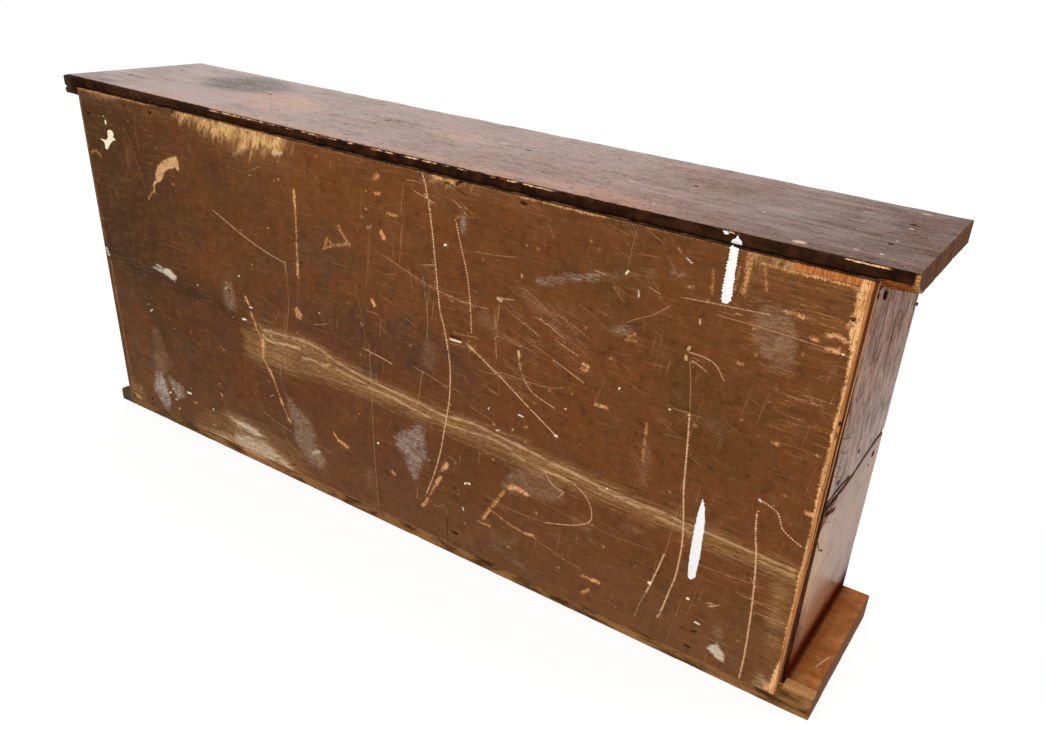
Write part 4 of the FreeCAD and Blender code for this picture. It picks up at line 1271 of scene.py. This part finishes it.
def top_finish():
    """The top: worn red-brown stain under what is left of its varnish, with dark, warm and chipped places."""
    finish = Finish("worn top")
    mix, clouds, painted = finish.mix, finish.clouds, finish.painted
    x, y, z, tape, forward = finish.x, finish.y, finish.z, finish.tape, finish.forward
    figure, fibres, pores = grain(finish, "x")
    blotch = clouds(0.013, 6, 0.68, 0.8)
    ripple = clouds(1, 5, 0.7, 1.2, finish.vector(x * 0.012, y * 0.11, 3))
    dashes = clouds(1, 5, 0.72, place=finish.vector(x * 0.09, y * 0.42, 7)).rise(0.55, 0.64)
    spots = clouds(1, 3, 0.7, place=finish.vector(x * 0.28, y * 0.5, 11)).rise(0.57, 0.64)
    speckled = clouds(1, 4, 0.75, place=finish.vector(x * 0.35, y * 0.6, 2))
    scuffed = clouds(0.09, 5, 0.7)

    def patch(across, up, wide, tall, ragged=1):
        """1 in the middle of a cloudy oval, 0 outside it."""
        oval = finish.spot(tape, forward, (across, up), (wide, tall))
        return (oval * (1 + (blotch - 0.5) * (1.6 * ragged))).rise(0.05, 0.6)

    def patches(colour, *ovals):
        """Coats of one colour, from rows of an oval and how much of it shows."""
        return [(patch(*oval) * amount, colour) for *oval, amount in ovals]

    stain = patch(122, 118, 80, 62)
    warm = patch(225, 76, 80, 52)
    along_edge = forward.rise(30, 8) * tape.between(40, 140, 600, 720)
    arch = abs((tape - 684) * (tape - 684) * 0.05 + forward - 42) / 5
    arch = (1 - arch).highest(0) * tape.between(668, 674, 694, 700)
    dashes = dashes * (0.45 + tape.rise(180, 300) * 0.55) * (1 - tape.rise(640, 760) * 0.6)
    dashes = dashes.highest(spots * stain * 1.2).lowest(1)
    curve = (forward - 82 + (tape - 200) * 0.88 + (fibres - 0.5) * 3) * 0.7
    curve = (1 - abs(curve)).highest(0) * tape.between(198, 202, 246, 252)
    # The sides: dark below the worn arris, with an open end grain and chipped places, and a painted shadow
    # line at the foot of the back face
    nicks = clouds((0.11, 0, 0), 5, 0.7)
    worn_over = 2.6 + tape.rise(215, 195) * 2 + (nicks - 0.5) * 5
    chips = (painted("arris") - 0.77 + (clouds((0.14, 0.3, 0.3), 5, 0.75) - 0.5) * 0.9).rise(0, 0.08)
    chipped = tape.between(204, 214, 590, 612).highest(tape.between(744, 748, 757, 762))
    chipped = chips * chipped.highest(tape.between(834, 838, 862, 868))
    end_face = x.rise(top_low.x / MM + 1.2, top_low.x / MM + 0.4)
    edges = (worn_over - forward).rise(-0.4, 0.4).highest(painted("broken").rise(0.3, 0.7)).highest(end_face)
    edges = edges.highest(x.rise(top_high.x / MM - 2.4, top_high.x / MM - 0.8))
    edges = edges.highest(y.rise(top_low.y / MM + 1.2, top_low.y / MM + 0.4))
    below = z.rise(top_low.z / MM + 0.6, top_low.z / MM + 0.2)
    side = finish.coats(
        mix(scuffed.rise(0.4, 0.7), (36, 18, 8), (66, 38, 20)),
        (end_face * 0.8, mix(speckled.rise(0.4, 0.6), (74, 46, 30), (136, 96, 70))),
        (tape.rise(-10, -22) * 0.5, (66, 58, 46)),
        (figure.rise(0.5, 0.68) * 0.3, (98, 60, 34)),
        # Painted shadow: near-black line low on the back face, just above the back panel
        (z.rise(383.2, 382) * tape.between(-6, 0, 858, 862) * 0.85, (18, 9, 5)))
    # Torn wood where the back edge is broken
    raw = (painted("bare") + (clouds(0.6, 4, 0.7) - 0.5) * 1.4).rise(0.3, 0.8)
    splinter = clouds(1, 4, 0.7, place=finish.vector(x * 0.16 + z * 0.3, y * 0.3, z * 0.9))
    torn = mix(tape.rise(880, 885) * splinter.rise(0.36, 0.56),
               mix(splinter.rise(0.4, 0.62), (92, 50, 20), (182, 108, 50)), (214, 160, 100))
    colour = finish.coats(
        mix(tape.rise(600, 860), (140, 80, 40), (92, 52, 28)),
        (tape.rise(60, -20) * 0.6, (104, 72, 48)),
        (ripple.rise(0.54, 0.68) * 0.5, (158, 96, 60)),
        (ripple.rise(0.47, 0.34) * 0.5, (74, 42, 26)),
        (stain * 0.85, (66, 52, 34)),
        (warm * 0.7, (196, 116, 66)),
        (along_edge * (0.35 + figure.rise(0.4, 0.6) * 0.6), (184, 116, 66)),
        (patch(625, 10, 90, 34) * 0.6, (184, 106, 60)),
        (patch(440, 96, 60, 24, 1.5) * 0.6, (190, 126, 84)),
        (arch * 0.5, (176, 96, 56)),
        (figure.rise(0.45, 0.7) * 0.4, (84, 46, 26)),
        (fibres.rise(0.5, 0.72) * 0.4, (168, 110, 70)),
        (speckled.rise(0.52, 0.66) * 0.4, (182, 120, 78)),
        ((pores * 0.5 + dashes * 0.85).lowest(1), (42, 24, 14)),
        *patches((34, 24, 18), (112, 86, 9, 5, 0.8), (100, 78, 14, 9, 0.5), (508, 102, 5, 2.4, 0.9),
                 (274, 91, 6, 2.2, 0.6), (680, 124, 10, 1.8, 0.6), (-18, 125, 4, 3, 0.9),
                 (-8, 57, 3, 2.4, 0.9)),
        (curve * 0.7, (60, 36, 24)),
        *patches((224, 186, 150), (800, 11.5, 7, 5, 0.95), (482, 105, 9, 7, 0.4), (853, 107, 3, 2.4, 0.9),
                 (853, 66, 2, 1.8, 0.8), (752, 67, 2.2, 1.8, 0.8), (852, 160, 6, 3, 0.6),
                 (836, 24, 2.6, 2, 0.8), (853, 26, 2.2, 2.2, 0.9), (733, 166, 2, 2, 0.8),
                 (680, 24, 2.2, 2, 0.8), (680, 14, 2, 2, 0.6), (635, 72, 5, 2.2, 0.5),
                 (815, 128, 8, 2, 0.45), (560, 130, 7, 1.8, 0.35)),
        (edges.highest(below), side),
        (chipped, mix(speckled.rise(0.35, 0.6), (206, 148, 92), (246, 208, 160))),
        ((painted("worn") + (scuffed - 0.5) * 0.8).rise(1.1, 1.6) * 0.6, (190, 140, 96)),
        (raw, torn))
    # How much of the varnish is left
    left = 0.98 - tape.rise(520, 800) * 0.28 - tape.rise(760, 880) * 0.24 - tape.rise(80, -20) * 0.18
    left = left - stain * 0.3 + (ripple - 0.5) * 1.1 + (speckled - 0.5) * 1.2 + (blotch - 0.5) * 1.1
    left = left - (pores * 0.3 + dashes * 0.6) - warm * 0.1 - chipped * 0.6
    left = left * (1 - edges * 0.95) * (1 - raw * 0.9) * (1 - below)
    relief = fibres * 0.6 - pores * 0.8 + scuffed * 0.4 - dashes * 0.6
    return finish.surface(colour, 0.6, relief, 0.0005, 0, varnish=left.highest(0).lowest(1), polish=0.2)


def base_finish():
    """The bottom: warm brown, with bare and patchy wood along its back edge."""
    finish = Finish("worn base")
    x, y, z, tape = finish.x, finish.y, finish.z, finish.tape
    figure, fibres, pores = grain(finish, "x")
    cloud = finish.clouds(0.04, 6, 0.7, 0.5)
    patches = finish.clouds(0.05, 6, 0.7, place=finish.vector(x * 0.5, y, z * 2.2))
    case_end, back_face = case_left_x / MM, base_high.y / MM
    under_end = x.between(case_end - 13, case_end - 3, case_end, case_end + 4)
    back = y.rise(back_face - 0.8, back_face - 0.2)
    outer_end = x.rise(base_low.x / MM + 1, base_low.x / MM + 0.3)
    ledge = x.rise(case_end + 0.5, case_end) * y.rise(back_face - 9, back_face - 8.4) * z.rise(20, 26)
    scratch = abs(tape - 876.4 + (y - 49) * 0.31) * 0.9
    scratch = (1 - scratch).highest(0) * y.between(28, 31, 48, 50) * z.rise(25, 26.5)
    bare_back = finish.coats(
        finish.mix(patches.rise(0.4, 0.62), (156, 110, 64), (76, 46, 22)),
        (tape.rise(180, 60) * 0.55, (100, 74, 46)),
        (tape.between(196, 206, 232, 250) * z.rise(6, 9) * 0.7, (206, 158, 108)),
        (tape.rise(-2, -8) * 0.8, (74, 66, 50)))
    colour = finish.coats(
        finish.mix(figure.rise(0.2, 0.9), (142, 78, 34), (184, 114, 64)),
        (cloud.rise(0.45, 0.65) * 0.5, (204, 138, 78)),
        (cloud.rise(0.46, 0.3) * 0.45, (120, 66, 22)),
        (under_end * 0.6, (124, 60, 12)),
        # Painted shadow: a dark line on the ledge where it meets the end board
        (x.rise(case_end - 3.2, case_end - 1) * 0.8, (52, 20, 6)),
        (fibres.rise(0.5, 0.7) * 0.3, (184, 124, 70)),
        (pores * 0.4, (84, 44, 20)),
        (x.rise(case_end, case_end + 2) * 0.5, (100, 64, 40)),
        (back, bare_back),
        (outer_end * 0.75, (96, 58, 34)),
        (ledge * (0.3 + patches.rise(0.35, 0.55) * 0.6), (190, 138, 86)),
        ((finish.painted("worn") + (patches - 0.5) * 0.8).rise(1.1, 1.6) * 0.5, (190, 142, 94)),
        (scratch * 0.8, (232, 186, 140)),
        (z.rise(0.6, 0.2) * 0.6, (120, 88, 60)))
    roughness = 0.55 + (fibres - 0.5) * 0.3 + back * 0.15
    return finish.surface(colour, roughness, fibres - pores * 0.6, 0.0004, 0.03)


def end_finish(side):
    """An end board: upright grain, rough above its scored line, varnish left below it, with painted shade at
    its foot and along its back edge, and a painted reflection of the ledge near its back.
    """
    finish = Finish(f"worn {side} end")
    mix, clouds, painted = finish.mix, finish.clouds, finish.painted
    z, forward = finish.z, finish.forward
    figure, fibres, pores = grain(finish, "z")
    rough = clouds((1, 0.12, 0.035), 6, 0.7, 0.6)
    cloud = clouds(0.03, 6, 0.7, 0.6)
    above = z.rise(194, 206)
    # Painted reflection of the bright ledge: lighter low down near the back
    ledge_reflection = forward.rise(56, 4) * z.between(56, 120, 160, 192)
    triangle = (z - 180 - forward * 0.4).rise(-2, 2) * z.rise(200, 198) * forward.rise(42, 34)
    corner = forward.rise(22, 6) * z.rise(112, 96)
    # Painted shade: dark towards the foot, where the end board meets the ledge
    foot = (z + (rough - 0.5) * 16).rise(68, 34)
    # Painted shadow: the back edge is darkened where the gap beside the plywood shades it
    gap_shadow = forward.rise(1.8, 0.9)
    cut = (painted("cut") + (clouds(0.5, 4, 0.65) - 0.5) * 2.2).rise(-0.3, 0.7)
    hole = (painted("hole") + (clouds(0.5, 3, 0.6) - 0.5) * 1.4).rise(-0.4, 0.6)
    depth = finish.x - left_low.x / MM if side == "left" else right_high.x / MM - finish.x
    inner = depth.rise(2.5, 3.5)
    plain = mix(fibres.rise(0.4, 0.7) * 0.4, mix(figure.rise(0.3, 0.7), deep_brown, mid_brown), fibre_brown)
    colour = finish.coats(
        mix(above, mix(rough.rise(0.3, 0.7), (124, 74, 42), (166, 104, 62)),
            mix(rough.rise(0.36, 0.62), (88, 54, 32), (160, 104, 66))),
        (cloud.rise(0.46, 0.3) * 0.5, (62, 40, 28)),
        (cloud.rise(0.55, 0.7) * 0.35, (164, 112, 78)),
        (ledge_reflection * 0.55, (222, 164, 106)),
        (z.between(76, 110, 170, 195) * 0.3, (196, 150, 104)),
        (triangle * 0.75, (92, 48, 22)),
        (corner * 0.5, (96, 52, 26)),
        ((foot * 1.4).lowest(1), (72, 20, 3)),
        (gap_shadow * 0.92, (32, 15, 9)),
        (figure.rise(0.5, 0.7) * 0.35, (72, 40, 24)),
        (fibres.rise(0.5, 0.72) * 0.3 * (1 - foot), (160, 108, 74)),
        (pores * 0.5, (50, 28, 18)),
        (cut * 0.85, (44, 26, 16)),
        (hole * 0.95, (16, 11, 8)),
        (inner, plain),
        ((painted("worn") + (rough - 0.5) * 0.8).rise(1, 1.5) * 0.5, (170, 120, 80)))
    grit = clouds(1, 5, 0.75, place=finish.vector(3, finish.y * 0.35, z * 0.16))
    # How much of the varnish is left
    left = 1 - z.rise(196, 340) * 0.45 - above * 0.16 - triangle * 0.7 - corner * 0.3 - ledge_reflection * 0.15
    left = left + (rough - 0.5) * (0.6 + above * 0.8) + (grit - 0.5) * (0.6 + above * 1.4)
    left = left + (cloud - 0.5) * 1.3
    left = (left - pores * 0.35) * (1 - cut * 0.9) * (1 - hole) * (1 - inner * 0.7)
    left = left * (1 - foot) * (1 - gap_shadow * 0.9)
    relief = fibres * 0.7 - pores * 0.8 + rough * 0.5
    return finish.surface(colour, 0.6, relief, 0.0005, 0, varnish=left.highest(0).lowest(1), polish=0.28)


make_top_board(top_finish())
make_bottom_board(base_finish())
make_end_board("left", end_finish("left"))
make_end_board("right", end_finish("right"))


# Stage, light and camera


def stage_finish():
    """A white floor that keeps a faint shadow of the cabinet."""
    nodes = Nodes(bpy.data.materials.new("white floor"))
    diffuse = nodes.node("BsdfDiffuse", {"Color": (0.86, 0.86, 0.86, 1)})
    glow = nodes.node("Emission", {"Color": (1, 1, 1, 1), "Strength": 1.12})
    seen = nodes.node("LightPath", {}, "Is Camera Ray")
    return nodes.end("Material", nodes.node("MixShader", {0: seen * 0.75, 1: diffuse, 2: glow}))


def make_stage():
    bpy.ops.object.select_all(action="DESELECT")
    bpy.ops.mesh.primitive_plane_add(size=60.0, location=(0, 0, 0))
    floor = bpy.context.object
    floor.name = "floor"
    floor.data.materials.append(stage_finish())


def make_world():
    """White all round for the camera and in the varnish, a little dimmer as light."""
    nodes = Nodes(bpy.data.worlds.new("studio"))
    camera, glossy = (nodes.node("LightPath", {}, f"Is {kind} Ray") for kind in ("Camera", "Glossy"))
    strength = nodes.node("MapRange", {"Value": camera.highest(glossy), "To Min": 0.8, "To Max": 1})
    white = nodes.node("Background", {"Color": (1, 1, 1, 1), "Strength": strength})
    bpy.context.scene.world = nodes.end("World", white)


def put(name, data, matrix):
    """A light or camera in the scene."""
    holder = bpy.data.objects.new(name, data)
    bpy.context.scene.collection.objects.link(holder)
    holder.matrix_world = matrix
    return holder


def add_lamp(name, place, aim, size, power):
    lamp = bpy.data.lights.new(name, "AREA")
    lamp.shape = "SQUARE"
    lamp.size = size
    lamp.energy = power
    turn = (Vector(aim) - Vector(place)).to_track_quat("-Z", "Y")
    put(name, lamp, Matrix.Translation(place) @ turn.to_matrix().to_4x4())


def make_camera():
    camera = bpy.data.cameras.new("camera")
    camera.lens = camera_lens
    camera.sensor_fit = "HORIZONTAL"
    camera.shift_x, camera.shift_y = camera_shift
    camera.clip_start = 0.01
    turn = Matrix.Rotation(camera_yaw, 4, "Z") @ Matrix.Rotation(math.pi / 2 + camera_pitch, 4, "X")
    turn = turn @ Matrix.Rotation(camera_roll, 4, "Z")
    bpy.context.scene.camera = put("camera", camera, Matrix.Translation(camera_place) @ turn)


make_stage()
make_world()
add_lamp("key", (-1.2, 2.2, 2.4), (0, 0, 0.15), 1.6, 30.0)
make_camera()
bpy.context.scene.view_settings.view_transform = "Standard"
